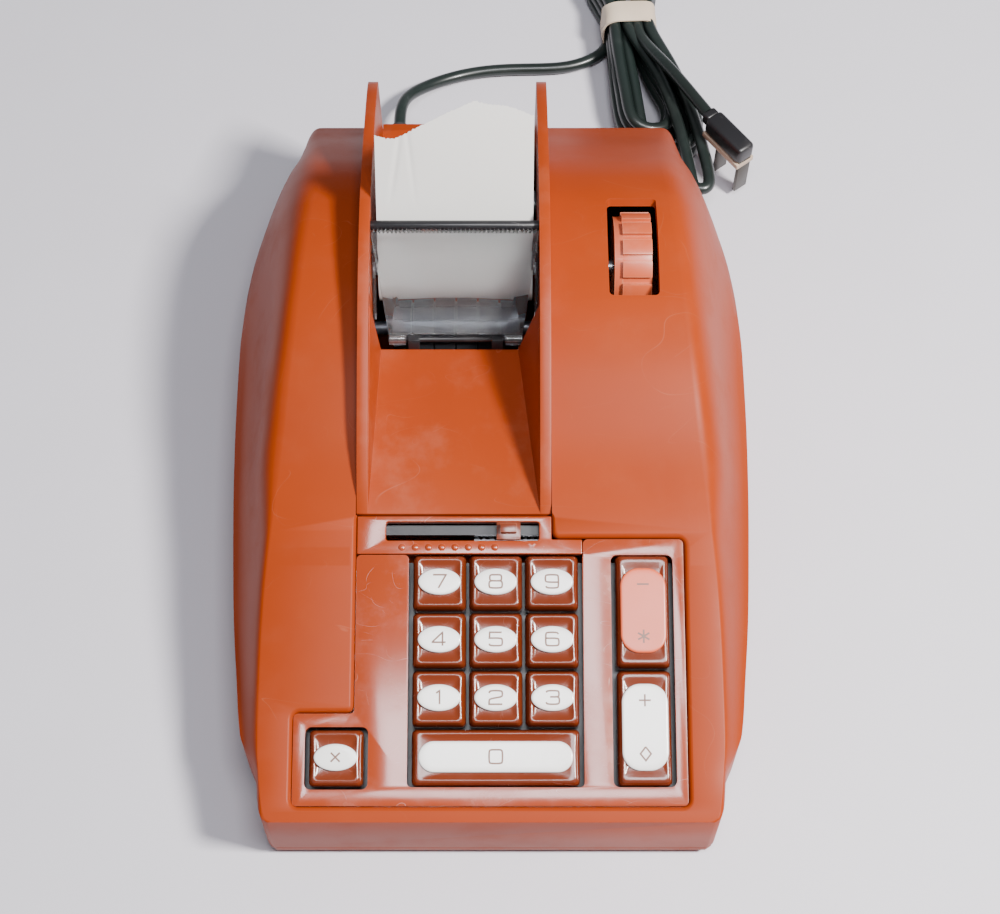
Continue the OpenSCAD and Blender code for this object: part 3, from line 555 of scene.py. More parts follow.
def acrylic():
    """Clear moulded acrylic, lightly scuffed."""
    if "acrylic" in MATERIALS:
        return MATERIALS["acrylic"]
    material = bpy.data.materials.new("clear_acrylic")
    material.use_nodes = True
    tree = material.node_tree
    shader = tree.nodes["Principled BSDF"]
    shader.inputs["Base Color"].default_value = (0.93, 0.95, 0.96, 1.0)
    shader.inputs["Metallic"].default_value = 0.0
    shader.inputs["Transmission Weight"].default_value = 0.97
    shader.inputs["IOR"].default_value = 1.49
    marks = place_group(tree, "scratches", {"Amount": 0.5, "Scale": 2.4})["Mask"]
    mottle = place_group(tree, "mottle", {"Grain Scale": 1600.0})
    rough = maths(tree, "MULTIPLY_ADD", mottle["Patches"], 0.08, 0.05)
    tree.links.new(maths(tree, "MULTIPLY_ADD", marks, 0.3, rough), shader.inputs["Roughness"])
    bump = add_node(tree, "ShaderNodeBump", {"Height": marks, "Strength": 0.3, "Distance": 0.00002})
    tree.links.new(bump.outputs[0], shader.inputs["Normal"])
    MATERIALS["acrylic"] = material
    return material


def channel_abs():
    rgb = bpy.context.scene.calc_case.colour
    return finish_of("channel_abs", rgb, 0.36, drift=0.07, dust=0.05, dust_rgb=(0.75, 0.45, 0.34),
                     grain=2600.0,
                     scratches=0.2, wear=0.3, fixed={"Specular IOR Level": 0.2})


def plug_beige():
    return finish_of("plug_beige", (0.5, 0.38, 0.28), 0.5, drift=0.12, dust=0.1, grain=1200.0)


def dark_steel():
    return finish_of("dark_steel", (0.09, 0.1, 0.12), 0.42, drift=0.2, dust=0.2, grain=900.0, wear=0.4,
                     wear_rgb=(0.35, 0.36, 0.38), fixed={"Metallic": 0.75})


def blade_metal():
    return finish_of("blade_metal", (0.07, 0.065, 0.055), 0.35, drift=0.2, dust=0.1, grain=900.0,
                     fixed={"Metallic": 0.7})




# ---- Mains lead ----------------------------------------------------------

LEAD_ROUTE = [
    (-38, 163, 14.5), (-38, 168, 14.5), (-37.7, 173, 13.8), (-36.5, 179, 11.8), (-33.5, 184.5, 9.3),
    (-29, 189.5, 6.8), (-23.5, 193.8, 4.9), (-17, 197.3, 3.8), (-10, 199.8, 3.3), (-1, 201.6, 3.2),
    (10, 202.4, 3.2), (21, 202.5, 3.2), (31, 203, 3.2), (39.7, 205.5, 3.2), (47.5, 210, 3.3),
    (51.2, 216, 3.4)]
HEAD = (57.0, 246.0)

# Each turn: left and right run where the band grips, left and right run at the fan, how far the fold
# reaches back towards the case, half width of the fold at the head, and the height of the run
TURNS = [
    (51.8, 67.0, 54.0, 86.0, 151.0, 14.2, 2.9),
    (57.0, 62.2, 60.5, 78.5, 160.0, 8.8, 2.95),
    (51.9, 66.8, 53.5, 84.0, 153.5, 13.8, 7.95),
    (57.0, 61.9, 61.0, 74.5, 162.0, 8.6, 8.0),
    (52.3, 66.8, 55.0, 87.0, 152.0, 14.0, 13.0),
    (57.2, 62.0, 62.0, 76.0, 161.0, 8.7, 13.05),
    (52.6, 66.4, 56.5, 89.5, 129.0, 13.6, 17.7),
    (57.2, 62.0, 81.5, 88.0, 0.0, 8.6, 17.75)]


# Over the hank and into the end of the plug
PLUG_END = [(64.5, 204, 19.8), (69.3, 193, 24.2), (75.6, 182, 27.2), (82.1, 169.8, 28.7), (88.8, 158.8, 28.8)]
PLUG_AT = Vector((97.0, 147.8, 20.3))
PLUG_TURN = math.radians(-53)
PLUG_HALF_L, PLUG_HALF_W, PLUG_FACE_TOP = 11.0, 4.5, 2.8


def hank_route():
    """The lead from the case, through every turn of the hank, to the plug, in millimetres."""
    route = list(LEAD_ROUTE)
    for k, (left, right, _, fan_right, low, half, z) in enumerate(TURNS):
        cx, cy = HEAD
        if k:
            route += [(left, 212, z)]
        route += [(left, 226, z)]
        for angle in (200, 165, 130, 90, 50, 15, -20):
            a = math.radians(angle)
            route.append((cx + half * math.cos(a), cy + half * math.sin(a), z))
        route += [(right, 226, z), (right, 212, z)]
        if k == len(TURNS) - 1:
            break
        after = TURNS[k + 1]
        up_left, up_z = after[2], after[6]
        middle, reach = (fan_right + up_left) / 2, (fan_right - up_left) / 2
        route.append(((right + fan_right * 2) / 3 - 1.5, 187, z))
        route.append((fan_right, low + abs(reach) + 6, z))
        for angle in (-25, -60, -90, -120, -155):
            a = math.radians(angle)
            share = (angle + 25) / -130
            route.append((middle + reach * math.cos(a), low + abs(reach) * (1 + math.sin(a)),
                          z + (up_z - z) * share))
        route.append((up_left, low + abs(reach) + 8, up_z))
        route.append(((after[0] + up_left * 2) / 3, 187, up_z))
    route += PLUG_END
    return [Vector(p) * MM for p in route]


class CALC_OT_lead(bpy.types.Operator):
    """Lays the mains lead from the rear of the case into its hank and on to its plug"""

    bl_idname = "calculator.lead"
    bl_label = "Mains Lead"

    def execute(self, context):
        sizes = context.scene.calc_lead
        curve = bpy.data.curves.new("mains_lead", "CURVE")
        curve.dimensions = "3D"
        curve.bevel_depth = sizes.diameter / 2
        curve.bevel_resolution = 5
        curve.resolution_u = 5
        curve.use_fill_caps = True
        points = hank_route()
        line = curve.splines.new("NURBS")
        line.points.add(len(points) - 1)
        for spot, place in zip(line.points, points):
            spot.co = (*place, 1.0)
        line.order_u = 4
        line.use_endpoint_u = True
        curve.materials.append(cord_sheath())
        lead = bpy.data.objects.new("mains_lead", curve)
        context.scene.collection.objects.link(lead)
        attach(lead, "case")
        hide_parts("cord_lead", "cord_hank")
        return {"FINISHED"}


class CALC_OT_strain_relief(bpy.types.Operator):
    """Turns the ribbed, tapered sleeve where the lead leaves the case"""

    bl_idname = "calculator.strain_relief"
    bl_label = "Strain Relief"

    def execute(self, context):
        bm = bmesh.new()
        profile = [(-4.6, 2.9), (-4.6, 5.8), (-2.5, 5.8), (-2.5, 4.25), (0.05, 4.25), (0.05, 5.9),
                   (1.9, 5.9), (2.2, 5.2)]
        for rib in range(5):
            start = 3.2 + rib * 3.2
            fat, thin = 5.05 - rib * 0.27, 4.4 - rib * 0.2
            profile += [(start, fat), (start + 1.9, fat - 0.16), (start + 2.2, thin), (start + 2.9, thin)]
        profile += [(19.8, 3.55), (20.0, 3.2)]
        verts = [bm.verts.new(Vector((LEAD_X + r, REAR_Y + y, LEAD_Z)) * MM) for y, r in profile]
        edges = [bm.edges.new(pair) for pair in zip(verts, verts[1:])]
        bmesh.ops.spin(bm, geom=verts + edges, cent=Vector((LEAD_X, REAR_Y, LEAD_Z)) * MM, axis=(0, 1, 0),
                       angle=math.tau, steps=40, use_merge=True)
        bmesh.ops.remove_doubles(bm, verts=bm.verts, dist=1e-6)
        bmesh.ops.holes_fill(bm, edges=[e for e in bm.edges if e.is_boundary])
        bmesh.ops.recalc_face_normals(bm, faces=bm.faces)
        settle("lead_strain_relief", bm, "case", black_rubber(), 40.0, ("strain_relief",))
        return {"FINISHED"}


class CALC_OT_hank_band(bpy.types.Operator):
    """Wraps the cream tape that holds the hank together"""

    bl_idname = "calculator.hank_band"
    bl_label = "Hank Band"

    def execute(self, context):
        random.seed(7)
        bm = bmesh.new()
        rings = []
        steps = 44
        for inner in (False, True):
            stations = (214.2, 215.4, 217.2, 219.5, 221.6, 223.6, 224.8)
            for y in (reversed(stations) if inner else stations):
                ring = []
                for i in range(steps):
                    a = i * math.tau / steps
                    c, d = math.cos(a), math.sin(a)
                    wide = math.copysign(abs(c) ** 0.55, c) * (10.9 if inner else 11.8)
                    high = math.copysign(abs(d) ** 0.6, d) * (10.15 if inner else 10.8)
                    lump = 0.45 * math.sin(3.1 * a + y * 0.5) + 0.3 * math.sin(7 * a - y)
                    squeeze = 1 - abs(y - 219.5) * 0.004
                    x = 59.3 + wide * squeeze + (0 if inner else lump * 0.5 * c)
                    z = 10.95 + high * squeeze + min(0, lump) * 0.3 * abs(d)
                    ring.append(Vector((x, y + 0.5 * math.sin(2 * a + 0.4), z)) * MM)
                rings.append(ring_of(bm, ring))
        for one, two in zip(rings, rings[1:] + rings[:1]):
            bmesh.ops.bridge_loops(bm, edges=one["edges"] + two["edges"])
        bmesh.ops.recalc_face_normals(bm, faces=bm.faces)
        settle("hank_tape_band", bm, "case", tape(), 60.0, ("hank_band",))
        return {"FINISHED"}


class CALC_OT_plug(bpy.types.Operator):
    """Moulds the plug with its boot and insulating face, and softens its two flat blades"""

    bl_idname = "calculator.plug"
    bl_label = "Plug"

    def execute(self, context):
        place = Matrix.Translation(PLUG_AT * MM) @ Matrix.Rotation(PLUG_TURN, 4, "Z")
        body = block(-PLUG_HALF_L, PLUG_HALF_L, -PLUG_HALF_W + 0.3, PLUG_HALF_W - 0.3,
                     PLUG_FACE_TOP - 0.1, 11.3, place)
        round_edges(body, 1.9 * MM, 4, 20.0)
        boot = block(-14, -10, -3.1, 3.1, 5.2, 11.0, place)
        round_edges(boot, 1.2 * MM, 4, 20.0)
        mesh = bpy.data.meshes.new("boot")
        boot.to_mesh(mesh)
        boot.free()
        body.from_mesh(mesh)
        bpy.data.meshes.remove(mesh)
        settle("lead_plug", body, "case", black_plastic(), 40.0, ("plug_body",))
        face = block(-PLUG_HALF_L, PLUG_HALF_L, -PLUG_HALF_W, PLUG_HALF_W, 0, PLUG_FACE_TOP, place)
        round_edges(face, 0.5 * MM, 2, 20.0)
        settle("plug_insulating_face", face, "case", plug_beige(), 40.0, ("plug_face",))
        softened("plug_pins", "plug_blades", "case", blade_metal(), 0.0002, 2)
        return {"FINISHED"}
# ---- Case ----------------------------------------------------------------

# Share of the length, half width at the rim, half width of the flat top, height of the top as a share
# of the crown's rise (negative: on the deck's slope), flare of the shoulder
STATIONS = [
    (0, 0.79, 0.775, -1, 0), (0.005, 0.812, 0.8, -1, 0), (0.018, 0.826, 0.812, -1, 0),
    (0.056, 0.84, 0.826, -1, 0.1), (0.084, 0.876, 0.83, -1, 0.5), (0.108, 0.905, 0.83, -1, 0.9),
    (0.178, 0.93, 0.828, -1, 1), (0.255, 0.954, 0.82, -1, 1), (0.336, 0.971, 0.8, -1, 1),
    (0.44, 0.988, 0.768, 0.64, 1), (0.55, 0.998, 0.736, 0.865, 1), (0.64, 1, 0.712, 0.975, 0.9),
    (0.71, 0.99, 0.694, 1, 0.7), (0.766, 0.971, 0.68, 0.97, 0.5), (0.815, 0.942, 0.67, 0.875, 0.3),
    (0.85, 0.912, 0.665, 0.765, 0.2), (0.885, 0.868, 0.665, 0.62, 0.1), (0.92, 0.822, 0.675, 0.465, 0.05),
    (0.96, 0.79, 0.695, 0.27, 0), (0.985, 0.772, 0.71, 0.16, 0), (0.996, 0.758, 0.71, 0.11, 0),
    (1, 0.74, 0.7, 0.06, 0)]
ROWS_BETWEEN = 4
SECTION_STEPS = 15
PLATE_LEFT, PLATE_RIGHT = -67.15, 66.55
STRIP_LEFT, STRIP_RIGHT, STRIP_EAR = -46.5, 21.0, 31.65
STEP_S, DIGIT_TOP, OPER_TOP, STRIP_TOP, BOTTOM_S = 31.0, 85.8, 91.3, 99.5, 6.2
DIGIT_X, DIGIT_W, OPER_X, TIMES_X, OPER_W = 1.6, 60.1, 52.1, -52.4, 21.5
SEAM = 0.25
PLATE_T = 3.0
DOT_R, DOT_RISE, DOT_PITCH, DOT_INSET, DOT_S = 1.3, 0.66, 4.6, 5.6, 2.7
SLOT_X, SLOT_S, SLOT_L, SLOT_W = -9.9, 94.2, 53.2, 6.6


def through(xs, ys, x):
    """A smooth curve through the points that never overshoots, so a straight run stays straight."""
    slopes = [(d - c) / (b - a) for a, b, c, d in zip(xs, xs[1:], ys, ys[1:])]
    inner = [2 * p * q / (p + q) if p * q > 0 else 0.0 for p, q in zip(slopes, slopes[1:])]
    tangents = [slopes[0]] + inner + [slopes[-1]]
    k = 0
    while k < len(xs) - 2 and x > xs[k + 1]:
        k += 1
    wide = xs[k + 1] - xs[k]
    t = (x - xs[k]) / wide
    return (ys[k] * (1 + 2 * t) * (1 - t) ** 2 + tangents[k] * wide * t * (1 - t) ** 2
            + ys[k + 1] * t * t * (3 - 2 * t) + tangents[k + 1] * wide * t * t * (t - 1))


def case_rows():
    shares = [row[0] for row in STATIONS]
    tops = [RIM_H + (row[0] * BODY_L * math.tan(DECK_TILT) if row[3] < 0 else row[3] * (CROWN_H - RIM_H))
            for row in STATIONS]
    columns = [[row[1] for row in STATIONS], [row[2] for row in STATIONS], tops, [row[4] for row in STATIONS]]
    rows = []
    for a, b in zip(shares, shares[1:]):
        for k in range(ROWS_BETWEEN):
            share = a + (b - a) * k / ROWS_BETWEEN
            rows.append([share] + [through(shares, column, share) for column in columns])
    rows.append([1.0] + [column[-1] for column in columns])
    return rows


def section(row, inset, low):
    """Half of a cross-section of the case, from its foot up to the flat top, as [x, z] pairs."""
    share, rim, flat, top, flare = row
    rim = rim * BODY_W / 2 - inset
    flat = flat * BODY_W / 2 - inset
    top -= inset
    edge = min(RIM_H - inset / 2, top - 0.4)
    rise = top - edge
    soft = min(1.0, max(0.0, (share - 0.336) / 0.104))
    reach = min((rim - flat) * (0.28 + 0.34 * soft), 12)
    a, b = Vector((flat, top)), Vector((flat + reach, top))
    c = Vector((rim - (0.12 + 0.33 * flare) * (rim - flat), edge + rise * (0.55 - 0.39 * flare)))
    d = Vector((rim, edge))
    curve = []
    for i in range(SECTION_STEPS + 1):
        t = 1 - i / SECTION_STEPS
        curve.append(a * (1 - t) ** 3 + b * 3 * t * (1 - t) ** 2 + c * 3 * t * t * (1 - t) + d * t ** 3)
    return [Vector((rim, low))] + curve


def case_shell(inset, low):
    bm = bmesh.new()
    rings = []
    for row in case_rows():
        y = FRONT_Y + inset + row[0] * (BODY_L - 2 * inset)
        half = section(row, inset, low)
        right = [Vector((p.x, y, p.y)) * MM for p in half]
        left = [Vector((-p.x, y, p.y)) * MM for p in reversed(half)]
        rings.append(ring_of(bm, right + left))
    bridge(bm, rings)
    return bm


def rounded(corners, radius, grow=0.0, steps=5):
    """An outline with round corners from its sharp corners in order, moved outwards by grow."""
    count = len(corners)
    points = [Vector(c) for c in corners]
    area = sum(p.x * q.y - q.x * p.y for p, q in zip(points, points[1:] + points[:1]))
    if area < 0:
        points.reverse()
    made = []
    for k in range(count):
        before, here, after = points[k - 1], points[k], points[(k + 1) % count]
        way_in, way_out = (here - before).normalized(), (after - here).normalized()
        bulge = way_in.x * way_out.y - way_in.y * way_out.x
        out_in, out_out = Vector((way_in.y, -way_in.x)), Vector((way_out.y, -way_out.x))
        if abs(bulge) < 1e-6:
            made.append(here + out_in * grow)
            continue
        r = max(0.02, radius + (grow if bulge > 0 else -grow))
        moved = here + (out_in + out_out) * (grow / (1 + out_in.dot(out_out)))
        tangent = r * abs(bulge) / (1 + way_in.dot(way_out))
        centre = moved - way_in * tangent + out_in * (-r if bulge > 0 else r)
        first = moved - way_in * tangent - centre
        turn = math.acos(max(-1.0, min(1.0, way_in.dot(way_out)))) * (1 if bulge > 0 else -1)
        for i in range(steps + 1):
            a = turn * i / steps
            made.append(centre + Vector((first.x * math.cos(a) - first.y * math.sin(a),
                                         first.x * math.sin(a) + first.y * math.cos(a))))
    return made


def stacked(levels, place):
    """A solid skinned through outlines at rising heights: levels are (outline, height)."""
    bm = bmesh.new()
    bridge(bm, [ring_of(bm, [place(p.x, p.y, n) for p in outline]) for outline, n in levels])
    return bm


HOLE_CORNERS = [
    (PLATE_LEFT - SEAM, -SEAM), (PLATE_RIGHT + SEAM, -SEAM), (PLATE_RIGHT + SEAM, OPER_TOP + SEAM),
    (STRIP_RIGHT + SEAM, OPER_TOP + SEAM), (STRIP_RIGHT + SEAM, STRIP_TOP + SEAM + 1),
    (STRIP_LEFT - SEAM, STRIP_TOP + SEAM + 1), (STRIP_LEFT - SEAM, STEP_S + SEAM),
    (PLATE_LEFT - SEAM, STEP_S + SEAM)]


def deck_cutter(lip):
    """The plate's hole, flaring into the deck with a soft edge."""
    levels = [(rounded(HOLE_CORNERS, 2.4), -20.0), (rounded(HOLE_CORNERS, 2.4), 1.5 - lip)]
    for angle in (22, 42, 58, 72, 84):
        a = math.radians(angle)
        levels.append((rounded(HOLE_CORNERS, 2.4, lip * (1 - math.cos(a))), 1.5 - lip + lip * math.sin(a)))
    levels.append((rounded(HOLE_CORNERS, 2.4, lip * 1.02), 1.53))
    levels.append((rounded(HOLE_CORNERS, 2.4, lip * 1.02), 20.0))
    return stacked(levels, deck)


def upright(x, y, z):
    return Vector((x, y, z)) * MM


class CALC_OT_cover(bpy.types.Operator):
    """Skins the upper cover, hollows it and cuts its openings"""

    bl_idname = "calculator.cover"
    bl_label = "Upper Cover"

    def execute(self, context):
        sizes = context.scene.calc_case
        shell = case_shell(0.0, COVER_Z)
        round_edges(shell, sizes.edge_radius * 1.6, 3, 40.0)
        cover = loose_object("case_cover", shell)
        cut(cover, loose_object("hollow", case_shell(WALL, COVER_Z - 2)))
        cut(cover, loose_object("plate_hole", deck_cutter(sizes.lip / MM)))
        cut(cover, loose_object("chute", block(CHAN_LEFT - FIN_T - SEAM, CHAN_RIGHT + FIN_T + SEAM,
                                               -41.1, 160, 40, 120)))
        wheel = [(42.5, 36), (59.9, 36), (59.9, 75), (42.5, 75)]
        wheel_top = [(42.0, 35.5), (60.4, 35.5), (60.4, 79), (42.0, 79)]
        cut(cover, loose_object("wheel_opening", stacked(
            [(rounded(wheel, 1.6), 60), (rounded(wheel, 1.6), 80.5), (rounded(wheel_top, 1.6), 86),
             (rounded(wheel_top, 1.6), 100)], upright)))
        hole = bmesh.new()
        at_rear = (Matrix.Translation(upright(LEAD_X, REAR_Y, LEAD_Z))
                   @ Matrix.Rotation(math.pi / 2, 4, "X"))
        bmesh.ops.create_cone(hole, cap_ends=True, segments=32, radius1=LEAD_HOLE_R * MM,
                              radius2=LEAD_HOLE_R * MM, depth=0.02, matrix=at_rear)
        cut(cover, loose_object("lead_hole", hole))
        bm = bmesh.new()
        bm.from_mesh(cover.data)
        bpy.data.objects.remove(cover)
        bmesh.ops.recalc_face_normals(bm, faces=bm.faces)
        settle("case_cover_skin", bm, "case", orange_abs(), 32.0, ("upper_cover",))
        return {"FINISHED"}


class CALC_OT_base(bpy.types.Operator):
    """Finishes the base tray, its feet and the paper channel moulding"""

    bl_idname = "calculator.base"
    bl_label = "Base And Channel"

    def execute(self, context):
        radius = context.scene.calc_case.edge_radius
        softened("base_tray", "case_base", "case", orange_abs(), radius * 1.5, 2)
        softened("feet", "case_feet", "case", black_rubber(), radius * 1.5, 2)
        softened("paper_channel", "channel_moulding", "case", channel_abs(), radius * 1.5, 2)
        return {"FINISHED"}


# ---- Keyboard ------------------------------------------------------------

def panel(name, corners, openings, material, node, radius, extras=()):
    """A flush moulded panel of the deck: an outline with openings, and edges just broken."""
    outline = rounded(corners, radius)
    made = loose_object("panel", stacked([(outline, -PLATE_T), (outline, 0.0)], deck))
    for opening in openings:
        cut(made, loose_object("opening", stacked([(opening, -9.0), (opening, 9.0)], deck)))
    bm = bmesh.new()
    bm.from_mesh(made.data)
    bpy.data.objects.remove(made)
    round_edges(bm, 0.35 * MM, 3, 40.0, lambda e: all(on_top(v) for v in e.verts))
    for extra in extras:
        mesh = bpy.data.meshes.new("extra")
        extra.to_mesh(mesh)
        extra.free()
        bm.from_mesh(mesh)
        bpy.data.meshes.remove(mesh)
    bmesh.ops.recalc_face_normals(bm, faces=bm.faces)
    return settle(name, bm, "case", material, 38.0, (node,))


def on_top(vert):
    return abs((DECK.inverted() @ vert.co).z) < 2e-5


def opening_of(x, s0, s1, wide):
    return rounded([(x - wide / 2, s0), (x + wide / 2, s0), (x + wide / 2, s1), (x - wide / 2, s1)], 2.2)


class CALC_OT_plate(bpy.types.Operator):
    """Moulds the keyboard plate and the scale strip behind it"""

    bl_idname = "calculator.plate"
    bl_label = "Keyboard Plate"

    def execute(self, context):
        low, high = DIGIT_X - DIGIT_W / 2, DIGIT_X + DIGIT_W / 2
        corners = [(PLATE_LEFT, 0), (PLATE_RIGHT, 0), (PLATE_RIGHT, OPER_TOP), (STRIP_EAR + SEAM, OPER_TOP),
                   (STRIP_EAR + SEAM, DIGIT_TOP), (high, DIGIT_TOP - 0.3), (high, BOTTOM_S), (low, BOTTOM_S),
                   (low, DIGIT_TOP), (STRIP_LEFT, DIGIT_TOP), (STRIP_LEFT, STEP_S), (PLATE_LEFT, STEP_S)]
        holes = [opening_of(OPER_X, BOTTOM_S, DIGIT_TOP, OPER_W),
                 opening_of(TIMES_X, BOTTOM_S - 0.8, BOTTOM_S + 20.3, OPER_W)]
        flange = [block(PLATE_LEFT - 3, PLATE_RIGHT + 3, -1, 5.5, -3, -1.95, DECK)]
        panel("keyboard_panel", corners, holes, plate_abs(), "keyboard_plate", 1.6, flange)
        corners = [(STRIP_LEFT, DIGIT_TOP + 0.35), (STRIP_EAR, DIGIT_TOP + 0.35), (STRIP_EAR, OPER_TOP),
                   (STRIP_RIGHT, OPER_TOP), (STRIP_RIGHT, STRIP_TOP), (STRIP_LEFT, STRIP_TOP)]
        slot_left, slot_right = SLOT_X - SLOT_L / 2, SLOT_X + SLOT_L / 2
        slot_low, slot_high = SLOT_S - SLOT_W / 2, SLOT_S + SLOT_W / 2
        slot = rounded([(slot_left, slot_low), (slot_right, slot_low), (slot_right, slot_high),
                        (slot_left, slot_high)], 0.9)
        marks = []
        for i in range(8):
            bm = bmesh.new()
            bmesh.ops.create_uvsphere(bm, u_segments=20, v_segments=10, radius=1.0)
            place = DECK @ Matrix.Translation(
                upright(slot_left + DOT_INSET + i * DOT_PITCH, DIGIT_TOP + DOT_S, -0.1))
            dome = Matrix.Diagonal((DOT_R * MM, DOT_R * MM, DOT_RISE * MM, 1.0))
            bmesh.ops.transform(bm, matrix=place @ dome, verts=bm.verts)
            marks.append(bm)
        for way in (45, -45):
            place = DECK @ Matrix.Translation(upright(slot_right - 2.5, DIGIT_TOP + DOT_S, 0))
            place = place @ Matrix.Rotation(math.radians(way), 4, "Z")
            marks.append(block(-1.6, 1.6, -0.3, 0.3, -0.2, 0.3, place))
        panel("scale_panel", corners, [slot], plate_abs(), "scale_strip", 0.5, marks)
        softened("entry_pointer", "entry_pointer_knob", "pointer", cap_abs(), 0.0005, 3)
        return {"FINISHED"}


PITCH_X, PITCH_S, KEY_GAP = 19.3, 19.9, 1.0
CAP_RISE, CAP_DEEP = 3.4, 6.0

# Name, column offset from the middle, row, columns wide, rows long
KEYS = [("0", 0, 0, 3, 1)] + [(str(3 * r + c + 1), c - 1, r + 1, 1, 1) for r in range(3) for c in range(3)]


def key_places():
    places = [(name, DIGIT_X + c * PITCH_X, BOTTOM_S + (r + 0.5) * PITCH_S, wide, long)
              for name, c, r, wide, long in KEYS]
    return places + [
        ("times", TIMES_X, BOTTOM_S + 0.5 * PITCH_S - 0.2, 1, 1),
        ("minus", OPER_X, BOTTOM_S + 3 * PITCH_S, 1, 2), ("plus", OPER_X, BOTTOM_S + PITCH_S, 1, 2)]


def box_outline(half_x, half_s, radius, steps=7):
    corners = [(-half_x, -half_s), (half_x, -half_s), (half_x, half_s), (-half_x, half_s)]
    return rounded(corners, radius, 0.0, steps)


def pinched(outline, half_s, amount):
    """Draws the long sides of an outline in by amount at their middle."""
    return [Vector((p.x - math.copysign(amount, p.x) * (1 - (p.y / half_s) ** 2), p.y)) for p in outline]


def divided(outline, parts):
    """An outline with every side cut into equal parts."""
    made = []
    for p, q in zip(outline, outline[1:] + outline[:1]):
        count = parts if (q - p).length > 2.5 else 1
        made += [p + (q - p) * i / count for i in range(count)]
    return made


class CALC_OT_caps(bpy.types.Operator):
    """Moulds the key caps, dished on top, with their stems"""

    bl_idname = "calculator.caps"
    bl_label = "Key Caps"

    def execute(self, context):
        dish = context.scene.calc_keys.dish / MM
        for name, x, s, wide, long in key_places():
            half_x, half_s = (wide * PITCH_X - KEY_GAP) / 2, (long * PITCH_S - KEY_GAP) / 2
            levels = [(0.25, -CAP_DEEP, 0.0), (0.0, -CAP_DEEP + 0.25, 0.0), (0.0, -1.0, 0.0),
                      (0.08, 0.4, 0.1), (0.5, 2.0, 0.3),
                      (0.85, 2.85, 0.4), (1.02, 3.15, 0.42), (1.3, 3.33, 0.42), (1.65, CAP_RISE, 0.4)]
            base = [divided(box_outline(half_x - inset, half_s - inset, 1.5), 8) for inset, _, _ in levels]
            rows = [[(p, n) for p in pinched(outline, half_s, pinch)]
                    for outline, (_, n, pinch) in zip(base, levels)]
            rim = [p for p, _ in rows[-1]]
            for share in (0.94, 0.86, 0.74, 0.58, 0.4, 0.2):
                ring = []
                for p in rim:
                    q = p * share
                    across, along = q.x / half_x, q.y / half_s
                    fall = (1 - abs(along) ** 2.2) * (1 - 0.45 * abs(across) ** 2)
                    edge = min(1.0, (1 - share) / 0.16)
                    ring.append((q, CAP_RISE - dish * fall * (0.35 + 0.65 * edge) * edge ** 0.7))
                rows.append(ring)
            bm = bmesh.new()
            bridge(bm, [ring_of(bm, [deck(x + p.x, s + p.y, n) for p, n in row]) for row in rows])
            mesh = bpy.data.meshes.new("stem")
            stem = block(x - 2, x + 2, s - 2, s + 2, -22, -CAP_DEEP + 0.5, DECK)
            stem.to_mesh(mesh)
            stem.free()
            bm.from_mesh(mesh)
            bpy.data.meshes.remove(mesh)
            settle("cap_" + name, bm, "key_" + name + "_body", cap_abs(), 40.0, ("key_" + name,))
        return {"FINISHED"}


def insert_outline(wide, long):
    if wide == 1 and long == 1:
        return lambda inset: [Vector(((7.3 - inset) * math.cos(a), (4.5 - inset) * math.sin(a)))
                              for a in (i * math.tau / 48 for i in range(48))]
    if long == 1:
        return lambda inset: box_outline(wide * PITCH_X / 2 - 2.9 - inset, 5.2 - inset, 5.19 - inset, 12)
    return lambda inset: box_outline(7.8 - inset, 14.6 - inset, 6.3 - inset, 12)


class CALC_OT_inserts(bpy.types.Operator):
    """Sets the smooth inserts into the caps"""

    bl_idname = "calculator.inserts"
    bl_label = "Key Inserts"

    def execute(self, context):
        for name, x, s, wide, long in key_places():
            shape = insert_outline(wide, long)
            levels = [(shape(0.0), 2.5), (shape(0.0), 3.72), (shape(0.12), 3.95), (shape(0.38), 4.08),
                      (shape(0.8), 4.12), (shape(2.2), 4.14)]
            bm = stacked(levels, lambda a, b, n, x=x, s=s: deck(x + a, s + b, n))
            body = "key_" + name + "_body"
            if name == "minus":
                settle("insert_piece_" + name, bm, body, salmon_abs(), 40.0,
                       ("insert_" + name,))
            else:
                settle("insert_piece_" + name, bm, body, white_abs(), 40.0,
                       ("insert_" + name,))
        return {"FINISHED"}


